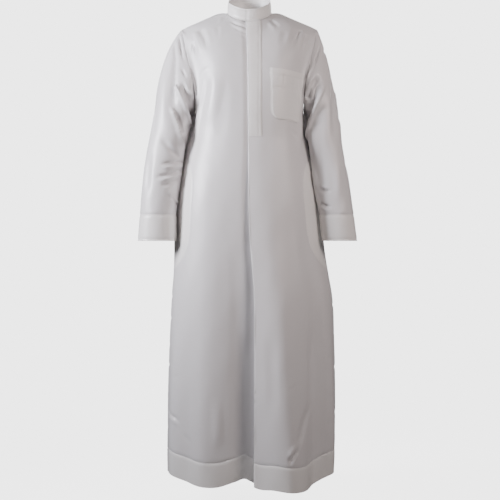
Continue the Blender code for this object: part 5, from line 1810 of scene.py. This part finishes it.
def build_world():
    """A pale studio: the camera sees its backdrop, and the cloth gets a softer light from it."""
    world = bpy.data.worlds.new("studio")
    bpy.context.scene.world = world
    world.use_nodes = True
    nodes, links = world.node_tree.nodes, world.node_tree.links
    light = nodes["Background"]
    light.inputs["Color"].default_value = AMBIENT_COLOUR
    light.inputs["Strength"].default_value = AMBIENT_STRENGTH
    backdrop = nodes.new("ShaderNodeBackground")
    backdrop.inputs["Color"].default_value = BACKDROP_COLOUR
    backdrop.inputs["Strength"].default_value = BACKDROP_STRENGTH
    rays = nodes.new("ShaderNodeLightPath")
    mix = nodes.new("ShaderNodeMixShader")
    links.new(rays.outputs["Is Camera Ray"], mix.inputs["Fac"])
    links.new(light.outputs["Background"], mix.inputs[1])
    links.new(backdrop.outputs["Background"], mix.inputs[2])
    links.new(mix.outputs["Shader"], nodes["World Output"].inputs["Surface"])


def build_camera():
    data = bpy.data.cameras.new("camera")
    data.sensor_width = CAMERA_SENSOR
    data.lens = CAMERA_LENS
    data.shift_x, data.shift_y = CAMERA_SHIFT
    camera = bpy.data.objects.new("camera", data)
    camera.location = CAMERA_PLACE
    camera.rotation_euler = (np.pi / 2, 0.0, 0.0)
    bpy.context.scene.collection.objects.link(camera)
    bpy.context.scene.camera = camera


class ROBE_OT_stage(Operator):
    """Set up the floor, the lights, the backdrop and the camera"""

    bl_idname = "robe.stage"
    bl_label = "Stage"

    def execute(self, context):
        build_floor(context.scene.robe_looks.floor_colour)
        build_world()
        build_camera()
        for lamp in named_rows(LIGHTS):
            area_light(lamp)
        return {"FINISHED"}


class ROBE_PT_robe(Panel):
    bl_idname = "ROBE_PT_robe"
    bl_label = "Thobe robe"
    bl_space_type = "VIEW_3D"
    bl_region_type = "UI"
    bl_category = "Robe"

    def draw(self, context):
        layout = self.layout
        for group in (context.scene.robe_sizes, context.scene.robe_looks):
            for name in group.__annotations__:
                layout.prop(group, name)
        for operator in OPERATORS:
            layout.operator(operator.bl_idname)


OPERATORS = (
    ROBE_OT_fronts,
    ROBE_OT_back,
    ROBE_OT_sleeves,
    ROBE_OT_cuffs,
    ROBE_OT_collar,
    ROBE_OT_placket,
    ROBE_OT_pockets,
    ROBE_OT_stitches,
    ROBE_OT_stage,
)
GROUPS = (RobeSizes, RobeLooks)


def register():
    for kind in (*GROUPS, *OPERATORS, ROBE_PT_robe):
        bpy.utils.register_class(kind)
    bpy.types.Scene.robe_sizes = PointerProperty(type=RobeSizes)
    bpy.types.Scene.robe_looks = PointerProperty(type=RobeLooks)


def unregister():
    del bpy.types.Scene.robe_looks
    del bpy.types.Scene.robe_sizes
    for kind in reversed((*GROUPS, *OPERATORS, ROBE_PT_robe)):
        bpy.utils.unregister_class(kind)


def main():
    register()
    bpy.ops.robe.fronts()
    bpy.ops.robe.back()
    bpy.ops.robe.sleeves()
    bpy.ops.robe.cuffs()
    bpy.ops.robe.collar()
    bpy.ops.robe.placket()
    bpy.ops.robe.pockets()
    bpy.ops.robe.stitches()
    bpy.ops.robe.stage()


if __name__ == "__main__":
    main()
